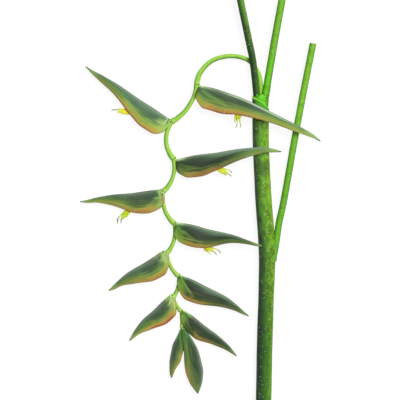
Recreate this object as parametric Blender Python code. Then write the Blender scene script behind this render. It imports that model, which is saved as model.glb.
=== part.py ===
"""A cut stem of a hanging heliconia in flower, lying on its side on a flat surface.

The surface is the plane z = 0. +Y runs along the stem towards the cut leaf stalks and +X to the side that
the stem lies on, so that the zigzag flower stalk hangs towards -Y. The origin is on the surface, under the
middle of the whole piece. Sizes in this file are millimetres, and MM turns them into Blender's metres.
"""

import math
from collections import namedtuple

import bpy
from mathutils import Matrix, Vector

MM = 0.001
SEAT_GAP = 0.3  # between two pieces that touch

# The thick stem: (y, x of its middle, radius), from the cut end to the rim of its outer leaf sheath.
STEM = [
    (-309, 95.3, 11.6),
    (-225, 96.8, 11.8),
    (-150, 99.0, 11.7),
    (-118, 100.0, 12.0),
    (-93, 100.5, 12.3),
    (-60, 99.6, 12.5),
    (0, 95.4, 12.4),
    (45, 92.9, 12.2),
    (82, 91.4, 12.2),
    (120, 90.8, 12.5),
]
STEM_SIDES = 24
RIM_Y = 146.5  # where the sheath's rim crosses the stem's middle
RIM_SLOPE = -0.77  # the rim runs down towards +X
RIM_LIP = 0.7  # how far the rim stands proud
THROAT_SHRINK = 0.9  # the inner sheath is that much thinner than the outer one
THROAT_TOP = 157.5
# How far above that, how far to the side and how much thinner it is, on its way to the right leaf stalk.
THROAT_SHOULDER = ((-1.2, 0, 0.9), (-0.2, 0.5, 1.8), (0.5, 3.4, 4.2), (1.2, 7, 6.4))

# The leaf stalks, cut short: (x, y, z) of the middle line, and the radius at both ends.
RIGHT_STALK = [
    (98.9, 160.5, 12.3), (100.2, 168, 12.3), (101.9, 180, 12.4), (107, 210, 13), (112, 240, 14),
    (124.4, 308, 17),
]
RIGHT_STALK_RADIUS = (5.5, 5.2)
LEFT_STALK = [
    (85.4, 156, 15), (84.9, 161, 15.3), (82.8, 180, 17), (78.9, 210, 19), (72.7, 240, 21), (58.5, 308, 25),
]
LEFT_STALK_RADIUS = (5.4, 5.4)
LOWER_STALK = [
    (108.8, -92, 12.4), (110.6, -83, 12.4), (113.6, -67, 12.4), (118.6, -34, 12.4),
    (126.3, 0, 12.6), (141, 84, 14), (152.4, 150, 15.5), (168.8, 234.5, 17.5),
]
LOWER_STALK_RADIUS = (4.8, 4.7)
STALK_SIDES = 12

# The flower stalk: its bare arch, and then the joints that carry the bracts. Each internode bows to one side.
ARCH = [
    (91.9, 155, 7.8), (91.6, 170, 7.8), (87, 192, 8.1), (71, 210.6, 9.2), (45, 216, 11.5), (18, 208.8, 14),
    (0.2, 190.5, 16.4),
]
ARCH_RADII = (3.9, 3.8, 3.5, 3.2, 3.1, 3.2, 3.7)
JOINTS = [
    (-4.8, 173.3), (-42, 117.3), (-40, 61.5), (-54.6, 12.8), (-39, -35.3), (-49.5, -80.3),
    (-32.3, -114.5), (-39.8, -146), (-28.5, -167.3), (-26.7, -191.3),
]
BOWS = [8.2, -10, 7.2, -6.9, 5.7, -3.9, 3, -1.6, 0.4]
INTERNODE_RADII = [3.3, 3.3, 3.1, 3.1, 2.9, 2.8, 2.7, 2.5, 2.6]
JOINT_SWELL = 0.36  # an internode's end is that much thicker than its middle
STALK_TIP = 5  # past the last joint
RACHIS_SIDES = 10

# A bract is a folded leaf: its fold, the keel, is on the side away from the stalk's tip, and its two margins
# are open towards it. base and tip are the ends of the keel, and its chord is the line between them.
# keel says how far the keel stands off the chord, and depth how far the margins lie below the keel, both at
# the stations along the chord. half_width is across the cheeks, gape the opening between the margins as a
# share of that, clasp the share of the length over which the margins stay apart to hold what is between
# them, and lift, rise and lean_at say how high the bract lies where it rests on the stem.
STATIONS = (0, 0.04, 0.1, 0.22, 0.36, 0.64, 0.81, 0.92, 1)
Bract = namedtuple("Bract", "name side base tip keel depth half_width gape clasp lift rise lean_at")
BRACTS = [
    Bract("bract_1", 1, (-0.8, 171.3), (180, 88.6), (2.6, 5.2, 7.8, 9.4, 7.8, 6.4, 4.6),
          (14, 26, 33.4, 33, 25.4, 13.7, 10, 6.1), 10.4, 0.42, 0.25, 6.3, 16.4, 0.5),
    Bract("bract_2", -1, (-42.8, 120.2), (-171, 201), (0, 0, 0.7, 0.7, 2.4, 1.7, 0.3),
          (18, 28, 32.5, 33.4, 28, 15.1, 9.8, 5), 10.4, 0.42, 0.25, 0, 0, 1),
    Bract("bract_3", 1, (-36, 61.2), (121.5, 73), (0.8, 2.1, 4.3, 5, 8.4, 8.7, 5),
          (17, 25, 30.9, 32.7, 26.9, 15.2, 9.4, 6), 10, 0.42, 0.25, 0.4, 19, 0.78),
    Bract("bract_4", -1, (-55.5, 16.8), (-180, -1.5), (0, 0.2, 0.5, 0.4, 2.5, 1.8, 0.4),
          (15, 25.5, 30, 33.5, 30.5, 15.4, 7.6, 4.6), 10.2, 0.42, 0.25, 0, 0, 1),
    Bract("bract_5", 1, (-36, -34.5), (95.3, -68.2), (2, 2.9, 3.8, 3.2, 4.4, 2.4, 0.8),
          (12, 23.6, 29.8, 32.4, 29.3, 12.7, 6.6, 4.1), 9.5, 0.42, 0.25, 0.4, 16, 1),
    Bract("bract_6", -1, (-52.5, -75.8), (-137.3, -135), (1.4, 2, 2.2, 2.8, 5, 3.5, 1.6),
          (8, 16.4, 25.6, 31.7, 30.5, 19.2, 9.6, 6), 8.8, 0.28, 0.25, 0, 0, 1),
    Bract("bract_7", 1, (-30, -113.3), (73.5, -173.3), (2, 3.2, 4.7, 5.5, 7.4, 4.8, 2),
          (8, 17, 25, 31.5, 29.3, 17.4, 9.4, 5.1), 8.5, 0.28, 0.25, 0, 0, 1),
    Bract("bract_8", -1, (-42.8, -141.8), (-106.5, -210.5), (1.4, 2.3, 3.2, 3.6, 6.1, 4.5, 2.4),
          (7, 13, 21, 28.9, 28.5, 18.8, 9.6, 5.4), 8, 0.25, 0.25, 0, 0, 1),
    Bract("bract_9", 1, (-24.8, -166.5), (55.5, -233.6), (2, 3, 3.5, 3.6, 5.2, 4.3, 2.3),
          (7, 12, 18, 23.8, 24.4, 15.3, 8.9, 5), 7.6, 0.25, 0.25, 0, 0, 1),
    Bract("bract_tip_right", 1, (-22.5, -194.3), (-2.3, -290.3), (2.4, 4.9, 9.3, 13, 14.4, 10.6, 5.4),
          (6, 8.5, 10.9, 16.2, 22, 26.6, 20.4, 10.9), 7.6, 0.25, 0.7, 0, 0, 1),
    Bract("bract_tip_left", -1, (-29.3, -193.5), (-43.5, -267), (0.9, 1.9, 4.5, 7.1, 7.3, 5.4, 3.4),
          (4, 5.6, 8, 13.3, 17.8, 16.6, 9.6, 6), 3.8, 0.35, 0.1, 3.8, 0, 1),
]
WIDTH_SHARE = (0.52, 0.72, 0.92, 1, 0.86, 0.5, 0.28, 0.17, 0.09)  # of half_width, at the stations
WALL = 1.3
EDGE_WALL = 0.8
FLAT = 0.45  # how deep a resting cheek is pressed flat
TIP_DEPTH = 1.4
OPEN_GAPE = 0.93
BRACT_RINGS = 14
RING_CROWDING = 1.7  # above 1, the rings stand closer towards the base
CHEEK_STEPS = 5

# A flower comes from the joint, runs inside its bract and leaves between the margins at exit_at along the
# chord. heading is where it points to, in degrees from +X. Its strands are narrow tepals and thin stamens.
# Each starts and ends so far to the right of the flower's own way, reaches so far ahead of the mouth, has
# that radius, and bends so far aside on its way.
Flower = namedtuple("Flower", "name bract exit_at heading strands")
Strand = namedtuple("Strand", "start end reach radius bend")
FLOWERS = [
    Flower("flower_1", "bract_1", 70, -90, (
        Strand(3, 4.3, 11.5, 1, 0), Strand(0.6, 3.2, 19.8, 0.8, -1.6), Strand(-2, -4.2, 19, 0.8, -0.6),
        Strand(-3, -4, 10, 1.3, 0), Strand(0.6, 0.4, 11, 1.5, 0))),
    Flower("flower_2", "bract_2", 63, 177, (
        Strand(2.2, 1, 27, 0.8, 1), Strand(-1.8, -1.6, 17, 1.7, 0), Strand(0.8, 0.8, 15, 1.6, 0),
        Strand(3, 4, 17, 0.8, 0.6))),
    Flower("flower_3", "bract_3", 64, -29, (
        Strand(-2.2, -3, 20.5, 0.8, -2), Strand(0.2, 2.4, 22, 0.8, -0.6), Strand(2, 4.3, 14.5, 0.8, 0),
        Strand(3, 4.6, 7.5, 0.9, 0), Strand(-2.8, -4.5, 15, 0.8, -1))),
    Flower("flower_4", "bract_4", 57, -128, (
        Strand(2.2, 0.4, 24.5, 0.8, 4.6), Strand(-0.5, -4.7, 21, 0.9, 0.8), Strand(-3, -6, 11.5, 0.8, 0),
        Strand(1.2, 1.2, 14, 1.6, 0), Strand(-1.5, -1.5, 15.5, 1.4, 0))),
    Flower("flower_5", "bract_5", 52, -38, (
        Strand(2.8, 6.3, 11, 0.9, 0.5), Strand(0.8, 2.2, 18.5, 0.9, -1.2), Strand(-1.5, -5.1, 22.3, 0.8, -2),
        Strand(0, -1.4, 11, 1.5, 0), Strand(3.2, 4.8, 7, 0.9, 0))),
]
FLOWER_RADII = (1.5, 1.9, 2.7, 3.4, 3.7, 3.3)
FLOWER_FLATNESS = 0.66  # the tube is flattened between its bract's margins
FLOWER_SIDES = 8
TUBE_STANDS_OUT = 3  # of its bract
STRAND_SIDES = 4
STRAND_TIP = 0.5  # the radius of a strand's end

COLOURS = {
    "stem_green": ((0.10, 0.30, 0.03), 0.45),
    "stalk_green": ((0.19, 0.52, 0.05), 0.4),
    "dark_stalk_green": ((0.04, 0.12, 0.03), 0.4),
    "rachis_green": ((0.36, 0.72, 0.07), 0.35),
    "bract_green": ((0.09, 0.18, 0.07), 0.45),
    "flower_yellow": ((0.80, 0.78, 0.04), 0.45),
}


def clear_scene():
    """Removes what the startup file holds."""
    for obj in list(bpy.data.objects):
        bpy.data.objects.remove(obj)


def material(name, kind):
    """A Principled material of that name, with the looks of its kind in COLOURS."""
    colour, roughness = COLOURS[kind]
    made = bpy.data.materials.new(name)
    made.use_nodes = True
    shader = made.node_tree.nodes["Principled BSDF"]
    shader.inputs["Base Color"].default_value = (*colour, 1)
    shader.inputs["Roughness"].default_value = roughness
    shader.inputs["Metallic"].default_value = 0
    made.diffuse_color = (*colour, 1)
    return made


def lerp(a, b, share):
    return a + (b - a) * share


def ease(low, high, x):
    """0 below low, 1 above high, and a smooth step between them."""
    share = min(1, max(0, (x - low) / (high - low)))
    return share * share * (3 - 2 * share)


def through(stations, values, x):
    """A smooth curve through the values that doesn't overshoot them, read at x. It runs in the stations'
    square roots, which makes it start steeply, as a bract's heel does."""
    roots = [math.sqrt(s) for s in stations]
    x = math.sqrt(min(1, max(0, x)))
    slopes = [(values[i + 1] - values[i]) / (roots[i + 1] - roots[i]) for i in range(len(values) - 1)]
    ends = [slopes[0]]
    for before, after in zip(slopes, slopes[1:]):
        ends.append(0 if before * after <= 0 else 2 * before * after / (before + after))
    ends.append(slopes[-1])
    i = max(j for j in range(len(roots) - 1) if roots[j] <= x)
    width = roots[i + 1] - roots[i]
    u = (x - roots[i]) / width
    return (
        values[i] * (1 + 2 * u) * (1 - u) ** 2
        + values[i + 1] * u * u * (3 - 2 * u)
        + width * (ends[i] * u * (1 - u) ** 2 + ends[i + 1] * u * u * (u - 1))
    )


def smooth_line(points, steps):
    """Points of a Catmull-Rom curve through the given ones, with that many steps from one to the next."""
    ends = [points[0] * 2 - points[1], *points, points[-1] * 2 - points[-2]]
    line = []
    for a, b, c, d in zip(ends, ends[1:], ends[2:], ends[3:]):
        for step in range(steps):
            u = step / steps
            bent = (2 * a - 5 * b + 4 * c - d) * u**2 + (3 * b - a - 3 * c + d) * u**3
            line.append(0.5 * (2 * b + (c - a) * u + bent))
    return [*line, points[-1]]


def new_object(name, points, faces, colour):
    """An object of that name from points in millimetres and faces, with its normals outwards."""
    mesh = bpy.data.meshes.new(name)
    mesh.from_pydata([Vector(p) * MM for p in points], [], faces)
    mesh.validate()
    mesh.materials.append(material(name + " skin", colour))
    mesh.shade_smooth()
    mesh.set_sharp_from_angle(angle=math.radians(50))
    made = bpy.data.objects.new(name, mesh)
    bpy.context.scene.collection.objects.link(made)
    return made


def loft(name, rings, colour):
    """A closed solid through rings of equally many points, each counter-clockwise as seen from ahead."""
    count = len(rings[0])
    points = [p for ring in rings for p in ring]
    faces = [tuple(range(count))[::-1], tuple(range(len(points) - count, len(points)))]
    for i in range(len(rings) - 1):
        for j in range(count):
            a, b = i * count + j, i * count + (j + 1) % count
            faces += [(a, b, b + count), (a, b + count, a + count)]
    return new_object(name, points, faces, colour)


def tube_rings(line, radii, sides):
    """Rings round a line, square to it and without twist."""
    rings = []
    along = (line[1] - line[0]).normalized()
    across = along.cross(Vector((0, 0, 1))).normalized()
    for i, point in enumerate(line):
        ahead = (line[min(i + 1, len(line) - 1)] - line[max(i - 1, 0)]).normalized()
        across = (along.rotation_difference(ahead) @ across).normalized()
        along = ahead
        turn = Matrix.Rotation(math.tau / sides, 3, along)
        spoke = Matrix.Rotation(math.pi / sides, 3, along) @ across
        ring = []
        for _ in range(sides):
            ring.append(point + spoke * radii[i])
            spoke = turn @ spoke
        rings.append(ring)
    return rings


def tube(name, line, radii, sides, colour):
    return loft(name, tube_rings(line, radii, sides), colour)


def tapered_stalk(name, points, end_radii, steps, colour, grow=0):
    """A leaf stalk through its points, with a plain cut at each end."""
    line = smooth_line([Vector(p) for p in points], steps)
    radii = [lerp(*end_radii, i / (len(line) - 1)) + grow for i in range(len(line))]
    return tube(name, line, radii, STALK_SIDES, colour)


def as_cutter(obj):
    """Keeps an object out of the render: it only cuts its neighbours."""
    obj.hide_render = True
    obj.display_type = "WIRE"
    return obj


def cut_by(obj, cutter):
    """Takes the cutter's shape out of obj, so that obj seats on the piece that the cutter follows."""
    boolean = obj.modifiers.new("seat on " + cutter.name, "BOOLEAN")
    boolean.operation = "DIFFERENCE"
    boolean.solver = "EXACT"
    boolean.object = cutter
    return obj


def stem_ring(y, x, radius, height, slope=0, grow=0):
    """A ring of the thick stem in a plane that may lean. One flat side of it is the lowest."""
    ring = []
    for j in range(STEM_SIDES):
        angle = math.tau * (j + 0.5) / STEM_SIDES - math.pi / 2
        dx = (radius + grow) * math.cos(angle)
        dz = (radius + grow) * math.sin(angle)
        ring.append(Vector((x + dx, y + slope * dx, height + dz)))
    return ring[::-1]


def lying_height(radius):
    """The height of a stem's middle that puts the lowest flat side of its rings on the surface."""
    return radius * math.cos(math.pi / STEM_SIDES)


def pseudostem(name, grow=0):
    """The thick stem of rolled leaf sheaths, with the oblique rim of the outer sheath at its top."""
    rings = []
    for y, x, radius in STEM:
        rings.append(stem_ring(y, x, radius, lying_height(radius), grow=grow))
    x, radius = STEM[-1][1:]
    for below, lip in ((14, 0), (1.6, 0), (1.2, RIM_LIP), (0, RIM_LIP * 0.6)):
        slope = RIM_SLOPE * ease(30, 10, below)
        height = lying_height(radius)
        ring = stem_ring(RIM_Y - below, x, radius, height, RIM_SLOPE if below < 10 else slope, grow + lip)
        rings.append([Vector((p.x, p.y, max(p.z, -grow))) for p in ring])
    return loft(name, rings, "stem_green")


def right_stalk(name, grow=0):
    """The inner sheath, which closes the rim and narrows on its right side into a leaf stalk."""
    x, radius = STEM[-1][1:]
    height = lying_height(radius)
    rings = [stem_ring(RIM_Y + SEAT_GAP - grow, x, radius - THROAT_SHRINK, height, RIM_SLOPE, grow)]
    for above, shift, shrink in THROAT_SHOULDER:
        y = THROAT_TOP + above + grow
        rings.append(stem_ring(y, x + shift, radius - shrink, height, RIM_SLOPE * 0.1, grow))
    line = smooth_line([Vector(p) for p in RIGHT_STALK], 3)
    radii = [lerp(*RIGHT_STALK_RADIUS, i / (len(line) - 1)) + grow for i in range(len(line))]
    rings += [aligned(ring, rings[0]) for ring in tube_rings(line, radii, STEM_SIDES)]
    return loft(name, rings, "stalk_green")


def aligned(ring, first):
    """The ring with its points in the first ring's order, so that a loft between them isn't twisted."""
    def side(points, i):
        middle = sum(points, Vector()) / len(points)
        return (points[i] - middle).normalized()

    target = side(first, 0)
    start = max(range(len(ring)), key=lambda i: side(ring, i).dot(target))
    turned = ring[start:] + ring[:start]
    if side(turned, 1).dot(side(first, 1)) < side(turned, -1).dot(side(first, 1)):
        turned = [turned[0], *turned[:0:-1]]
    return turned


def bract_named(name):
    return next(b for b in BRACTS if b.name == name)


def plane_height(bract, t):
    """The height of the middle plane between a bract's cheeks, at the share t of its chord."""
    resting = bract.half_width + WALL / 2 - FLAT
    return resting + bract.lift + bract.rise * ease(0, bract.lean_at, t)


def in_plane(bract, t, below_keel):
    """The point in a bract's middle plane, at the share t of its chord and that far below its keel."""
    base, tip = Vector(bract.base), Vector(bract.tip)
    chord = tip - base
    along = chord.normalized()
    keelward = Vector((-along.y, along.x)) * bract.side
    stand_off = through(STATIONS, (0, *bract.keel, 0), t)
    flat = base + chord * t + keelward * (stand_off - below_keel)
    return Vector((flat.x, flat.y, plane_height(bract, t)))


def bract_depth(bract, t):
    return through(STATIONS, (*bract.depth, TIP_DEPTH), t)


def bract_point(bract, t, across):
    """A point of a bract's middle surface. across runs from -1 at one margin over 0, the keel, to 1."""
    width = bract.half_width * through(STATIONS, WIDTH_SHARE, t)
    width = max(width, math.sqrt(0.4 * WALL * bract_depth(bract, t)))  # room for its wall at the keel
    near_tip = ease(0.55, 0.95, t)
    gape = lerp(OPEN_GAPE, bract.gape, ease(0, bract.clasp, t))
    gape = lerp(gape, 0.62, near_tip)
    last = math.pi - math.asin(gape)
    angle = across * last
    below_keel = lerp(WALL / 2, bract_depth(bract, t), (1 - math.cos(angle)) / (1 - math.cos(last)))
    point = in_plane(bract, t, below_keel)
    point.z += width * math.sin(angle)
    return point


def bract_solid(bract):
    """A bract as a shell of its wall's thickness, open between its margins."""
    outer, inner = [], []
    step = 1e-3
    for i in range(BRACT_RINGS + 1):
        t = (i / BRACT_RINGS) ** RING_CROWDING
        for j in range(-CHEEK_STEPS, CHEEK_STEPS + 1):
            s = j / CHEEK_STEPS
            point = bract_point(bract, t, s)
            along = bract_point(bract, min(1, t + step), s) - bract_point(bract, max(0, t - step), s)
            round_it = bract_point(bract, t, s + step) - bract_point(bract, t, s - step)
            normal = along.cross(round_it).normalized() * bract.side
            wall = lerp(WALL, EDGE_WALL, abs(s) ** 3)
            wall = lerp(wall, EDGE_WALL * 0.8, ease(0.5, 1, t))
            skin = point - normal * wall / 2
            skin.z = max(skin.z, 0)
            outer.append(skin)
            inner.append(point + normal * wall / 2)
    return shell(bract.name, outer, inner, BRACT_RINGS + 1, 2 * CHEEK_STEPS + 1, bract.side, "bract_green")


def shell(name, outer, inner, rows, columns, side, colour):
    """A closed blade between two grids of points. Both faces are split into triangles alike."""
    faces = []
    start = len(outer)

    def both(a, b, c):
        faces.append((a, b, c))
        faces.append((start + c, start + b, start + a))

    def edge(a, b):
        faces.append((b, a, start + a))
        faces.append((b, start + a, start + b))

    for i in range(rows - 1):
        for j in range(columns - 1):
            a = i * columns + j
            both(a, a + 1, a + columns + 1)
            both(a, a + columns + 1, a + columns)
        edge(i * columns + columns - 1, (i + 1) * columns + columns - 1)
        edge((i + 1) * columns, i * columns)
    for j in range(columns - 1):
        edge(j, j + 1)
        edge((rows - 1) * columns + j + 1, (rows - 1) * columns + j)
    if side < 0:
        faces = [face[::-1] for face in faces]
    return new_object(name, outer + inner, faces, colour)


def joint_points():
    """The joints of the flower stalk, each as high as the bract that it carries."""
    points = []
    for (x, y), bract in zip(JOINTS, BRACTS):
        points.append(Vector((x, y, plane_height(bract, 0))))
    return points


def rachis_line(beyond):
    """The flower stalk's middle line and radii: the arch, then an internode between each two joints."""
    joints = joint_points()
    route = [Vector(p) for p in ARCH]
    radii = list(ARCH_RADII)
    route.append(joints[0])
    radii.append(INTERNODE_RADII[0] * (1 + JOINT_SWELL))
    for start, end, bow, radius in zip(joints, joints[1:], BOWS, INTERNODE_RADII):
        chord = end - start
        aside = Vector((-chord.y, chord.x, 0)).normalized()
        for share, swell in ((0.12, -0.04), (0.34, 0), (0.62, 0.03), (0.86, 0.2)):
            route.append(start + chord * share + aside * bow * 4 * share * (1 - share))
            radii.append(radius * (1 + swell))
        route.append(end)
        radii.append(radius * (1 + JOINT_SWELL))
    route.append(joints[-1] + (joints[-1] - joints[-2]).normalized() * (STALK_TIP + beyond))
    radii.append(INTERNODE_RADII[-1] * 0.8)
    steps = 2
    line = smooth_line(route, steps)
    fine = [lerp(radii[i // steps], radii[min(i // steps + 1, len(radii) - 1)], (i % steps) / steps)
            for i in range(len(line))]
    return line, fine


def flower_stalk(name, grow=0):
    line, radii = rachis_line(beyond=grow)
    return tube(name, line, [r + grow for r in radii], RACHIS_SIDES, "rachis_green")


def flower_line(flower):
    """The middle line of a flower's tube, from the joint to its mouth, and the way that the mouth points."""
    bract = bract_named(flower.bract)
    length = (Vector(bract.tip) - Vector(bract.base)).length
    leave = flower.exit_at / length
    route = [in_plane(bract, 0, 7)]
    for share, depth_share in ((0.3, 0.5), (0.62, 0.62), (0.86, 0.74)):
        t = leave * share
        route.append(in_plane(bract, t, bract_depth(bract, t) * depth_share))
    way = Vector((math.cos(math.radians(flower.heading)), math.sin(math.radians(flower.heading)), 0))
    mouth = in_plane(bract, leave, bract_depth(bract, leave))
    route += [mouth, mouth + way * TUBE_STANDS_OUT]
    return route, way


def strand_point(strand, mouth, way, above, share):
    """A point of a strand's middle line, at that share of its way from the mouth to its tip."""
    aside = lerp(strand.start, strand.end, share) + strand.bend * 4 * share * (1 - share)
    right = way.cross(Vector((0, 0, 1)))
    rise = above * (0.7 + 0.9 * share * (1 - share))
    return mouth + way * strand.reach * share + right * aside + Vector((0, 0, rise))


def strands_of(flower, mouth, way):
    """The narrow tepals and thin stamens, side by side in a fan, in a collection of their own."""
    strands = bpy.data.collections.new(flower.name + " strands")
    bpy.context.scene.collection.children.link(strands)
    for i, strand in enumerate(flower.strands):
        above = 1 if i % 2 else -1
        points = [strand_point(strand, mouth, way, above, share) for share in (0, 0.35, 0.7, 1)]
        points[0] -= way * 2.5
        thick = (strand.radius * 1.1, strand.radius, strand.radius * 0.85, STRAND_TIP)
        solid = tube(flower.name + " strand", points, thick, STRAND_SIDES, "flower_yellow")
        bpy.context.scene.collection.objects.unlink(solid)
        strands.objects.link(solid)
    return strands


def flower_solid(flower, cutter):
    """A flower as one solid: its flattened tube with its strands joined on."""
    route, way = flower_line(flower)
    line = smooth_line(route, 3)
    spread = (len(FLOWER_RADII) - 1) / (len(line) - 1)
    radii = []
    for i in range(len(line)):
        k = min(int(i * spread), len(FLOWER_RADII) - 2)
        radii.append(lerp(FLOWER_RADII[k], FLOWER_RADII[k + 1], i * spread - k))
    rings = tube_rings(line, radii, FLOWER_SIDES)
    for middle, ring in zip(line, rings):
        for point in ring:
            point.z = lerp(middle.z, point.z, FLOWER_FLATNESS)
    made = loft(flower.name, rings, "flower_yellow")
    strands = strands_of(flower, route[-2], way)
    join = made.modifiers.new("join the strands", "BOOLEAN")
    join.operation = "UNION"
    join.solver = "EXACT"
    join.operand_type = "COLLECTION"
    join.collection = strands
    apply_modifiers(made)
    for strand in list(strands.objects):
        bpy.data.objects.remove(strand)
    bpy.data.collections.remove(strands)
    return cut_by(made, cutter)


def apply_modifiers(obj):
    """Makes what the modifiers show the object's own mesh."""
    bpy.context.view_layer.update()
    graph = bpy.context.evaluated_depsgraph_get()
    mesh = bpy.data.meshes.new_from_object(obj.evaluated_get(graph))
    obj.modifiers.clear()
    obj.data = mesh


def main():
    clear_scene()
    pseudostem("pseudostem")
    right_stalk("leaf_stalk_right")
    stem_cutter = as_cutter(pseudostem("stem cutter", grow=SEAT_GAP))
    throat_cutter = as_cutter(right_stalk("throat cutter", grow=SEAT_GAP))
    rachis_cutter = as_cutter(flower_stalk("rachis cutter", grow=SEAT_GAP))
    cut_by(flower_stalk("flower_stalk"), throat_cutter)
    left = tapered_stalk("leaf_stalk_left", LEFT_STALK, LEFT_STALK_RADIUS, 2, "dark_stalk_green")
    cut_by(left, throat_cutter)
    lower = tapered_stalk("leaf_stalk_lower", LOWER_STALK, LOWER_STALK_RADIUS, 1, "stalk_green")
    cut_by(lower, stem_cutter)
    for bract in BRACTS:
        cut_by(bract_solid(bract), rachis_cutter)
    for flower in FLOWERS:
        flower_solid(flower, rachis_cutter)


main()
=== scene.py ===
# %% [markdown]
# # A cut heliconia stem with its hanging flower stalk
# A heliconia carries its small flowers in folded, boat-shaped leaves called bracts, on both sides of a
# zigzag stalk. This lesson dresses the plain solids of such a stem, which lies on a pale table and is seen
# from straight above.

# %% Load the solids
import math
import random
from collections import namedtuple

import bpy
import numpy as np
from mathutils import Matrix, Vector, noise


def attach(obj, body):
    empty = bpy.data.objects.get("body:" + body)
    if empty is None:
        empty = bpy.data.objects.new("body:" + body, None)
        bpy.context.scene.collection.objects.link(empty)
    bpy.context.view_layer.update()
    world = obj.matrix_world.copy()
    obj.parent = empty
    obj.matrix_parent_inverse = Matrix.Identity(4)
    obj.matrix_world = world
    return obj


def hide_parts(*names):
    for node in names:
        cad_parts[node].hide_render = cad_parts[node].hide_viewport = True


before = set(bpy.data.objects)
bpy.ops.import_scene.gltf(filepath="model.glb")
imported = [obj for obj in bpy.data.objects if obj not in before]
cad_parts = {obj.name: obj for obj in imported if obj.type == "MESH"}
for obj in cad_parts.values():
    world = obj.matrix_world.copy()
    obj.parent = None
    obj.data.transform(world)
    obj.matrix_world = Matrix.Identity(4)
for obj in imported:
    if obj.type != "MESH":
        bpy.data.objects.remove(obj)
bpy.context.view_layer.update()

# %% [markdown]
# ## Numbers and curves
# All sizes are in millimetres, and MM turns them into Blender's metres. A grown shape has no straight
# lines, so most of it comes from a few small curves.

# %% Small curves
MM = 0.001


def lerp(a, b, share):
    return a + (b - a) * share


def ease(low, high, x):
    """0 at low, 1 at high, and a smooth step between them. It works on arrays too."""
    share = np.clip((x - low) / (high - low), 0, 1)
    return share * share * (3 - 2 * share)


def hill(foot, start, end, far, x):
    """0 up to foot, 1 from start to end, and 0 again from far on."""
    return ease(foot, start, x) * ease(far, end, x)


def bell(x, middle, width):
    """1 at the middle, falling to nothing on both sides."""
    return np.exp(-(((x - middle) / width) ** 2))


def through(stations, values, x):
    """A smooth curve through the values that doesn't overshoot them, read at x. It runs in the stations'
    square roots, which makes it start steeply, as a bract's heel does."""
    roots = [math.sqrt(s) for s in stations]
    x = math.sqrt(min(1, max(0, x)))
    slopes = [(values[i + 1] - values[i]) / (roots[i + 1] - roots[i]) for i in range(len(values) - 1)]
    ends = [slopes[0]]
    for before, after in zip(slopes, slopes[1:]):
        ends.append(0 if before * after <= 0 else 2 * before * after / (before + after))
    ends.append(slopes[-1])
    i = max(j for j in range(len(roots) - 1) if roots[j] <= x)
    width = roots[i + 1] - roots[i]
    u = (x - roots[i]) / width
    return (
        values[i] * (1 + 2 * u) * (1 - u) ** 2
        + values[i + 1] * u * u * (3 - 2 * u)
        + width * (ends[i] * u * (1 - u) ** 2 + ends[i + 1] * u * u * (u - 1))
    )


def smooth_line(points, steps):
    """Points of a Catmull-Rom curve through the given ones, with that many steps from one to the next."""
    points = [Vector(p) for p in points]
    ends = [points[0] * 2 - points[1], *points, points[-1] * 2 - points[-2]]
    line = []
    for a, b, c, d in zip(ends, ends[1:], ends[2:], ends[3:]):
        for step in range(steps):
            u = step / steps
            curve = 2 * b + (c - a) * u
            curve += (2 * a - 5 * b + 4 * c - d) * u**2
            curve += (3 * b - a - 3 * c + d) * u**3
            line.append(0.5 * curve)
    return [*line, points[-1]]


def distances(line):
    """How far along a line each of its points lies."""
    return np.concatenate([[0], np.cumsum([(b - a).length for a, b in zip(line, line[1:])])])


def stretched(values, count):
    """The values read at that many even steps, on straight lines between them."""
    return np.interp(np.linspace(0, len(values) - 1, count), range(len(values)), values)


print("an ease from 0 to 1, read at a quarter:", float(ease(0, 1, 0.25)))

# %% [markdown]
# ## Making a piece
# A form is points in millimetres, faces, and traits: numbers stored at the points that say where on the
# plant each one is, such as how far along a stalk. The materials read the traits, so a colour follows the
# piece and not the picture. One function makes every piece, lets it ride on the plant's one body, and puts
# it in the place of its plain solid.

# %% The piece maker
def new_object(name, data):
    made = bpy.data.objects.new(name, data)
    bpy.context.scene.collection.objects.link(made)
    return made


def make_piece(name, form, skin, node, sharp=55):
    """A smooth-shaded piece from its form, with its skin and its place in the frame."""
    points, faces, traits = form
    mesh = bpy.data.meshes.new(name)
    mesh.from_pydata((points * MM).tolist(), [], faces)
    for trait, values in traits.items():
        layer = mesh.attributes.new(trait, "FLOAT", "POINT")
        layer.data.foreach_set("value", np.asarray(values, np.float32))
    mesh.materials.append(skin)
    mesh.shade_smooth()
    mesh.set_sharp_from_angle(angle=math.radians(sharp))
    piece = new_object(name, mesh)
    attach(piece, "root")
    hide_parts(node)
    print(name, len(faces), "faces")


def joined(*forms):
    """Several forms as one."""
    faces, start = [], 0
    for form in forms:
        faces += [tuple(i + start for i in face) for face in form[1]]
        start += len(form[0])
    traits = {trait: np.concatenate([form[2][trait] for form in forms]) for trait in forms[0][2]}
    return np.concatenate([form[0] for form in forms]), faces, traits


# %% [markdown]
# ## Round stalks
# A stalk is swept: rings of points stand square to its middle line, and each is turned as little as
# possible from the one before, so the skin never twists. A cut end closes in a few smaller rings, on which
# the trait "cut" grows from 0 towards 1, so that the cut face can have its own colour. All faces look
# outwards.

# %% Sweep a round stalk
def tube(rings):
    """The form of a closed tube. A ring is its points and its traits, each a number or one for each point."""
    sides, count = len(rings[0][0]), len(rings)
    faces = [tuple(range(sides)), tuple(range((count - 1) * sides, count * sides))[::-1]]
    for i in range(count - 1):
        for j in range(sides):
            a, b = i * sides + j, i * sides + (j + 1) % sides
            faces.append((a, a + sides, b + sides, b))
    traits = {}
    for trait in rings[0][1]:
        traits[trait] = np.concatenate([ring[1][trait] * np.ones(sides) for ring in rings])
    return np.concatenate([ring[0] for ring in rings]), faces, traits


def ring_angles(sides):
    return np.arange(sides) * math.tau / sides


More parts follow.
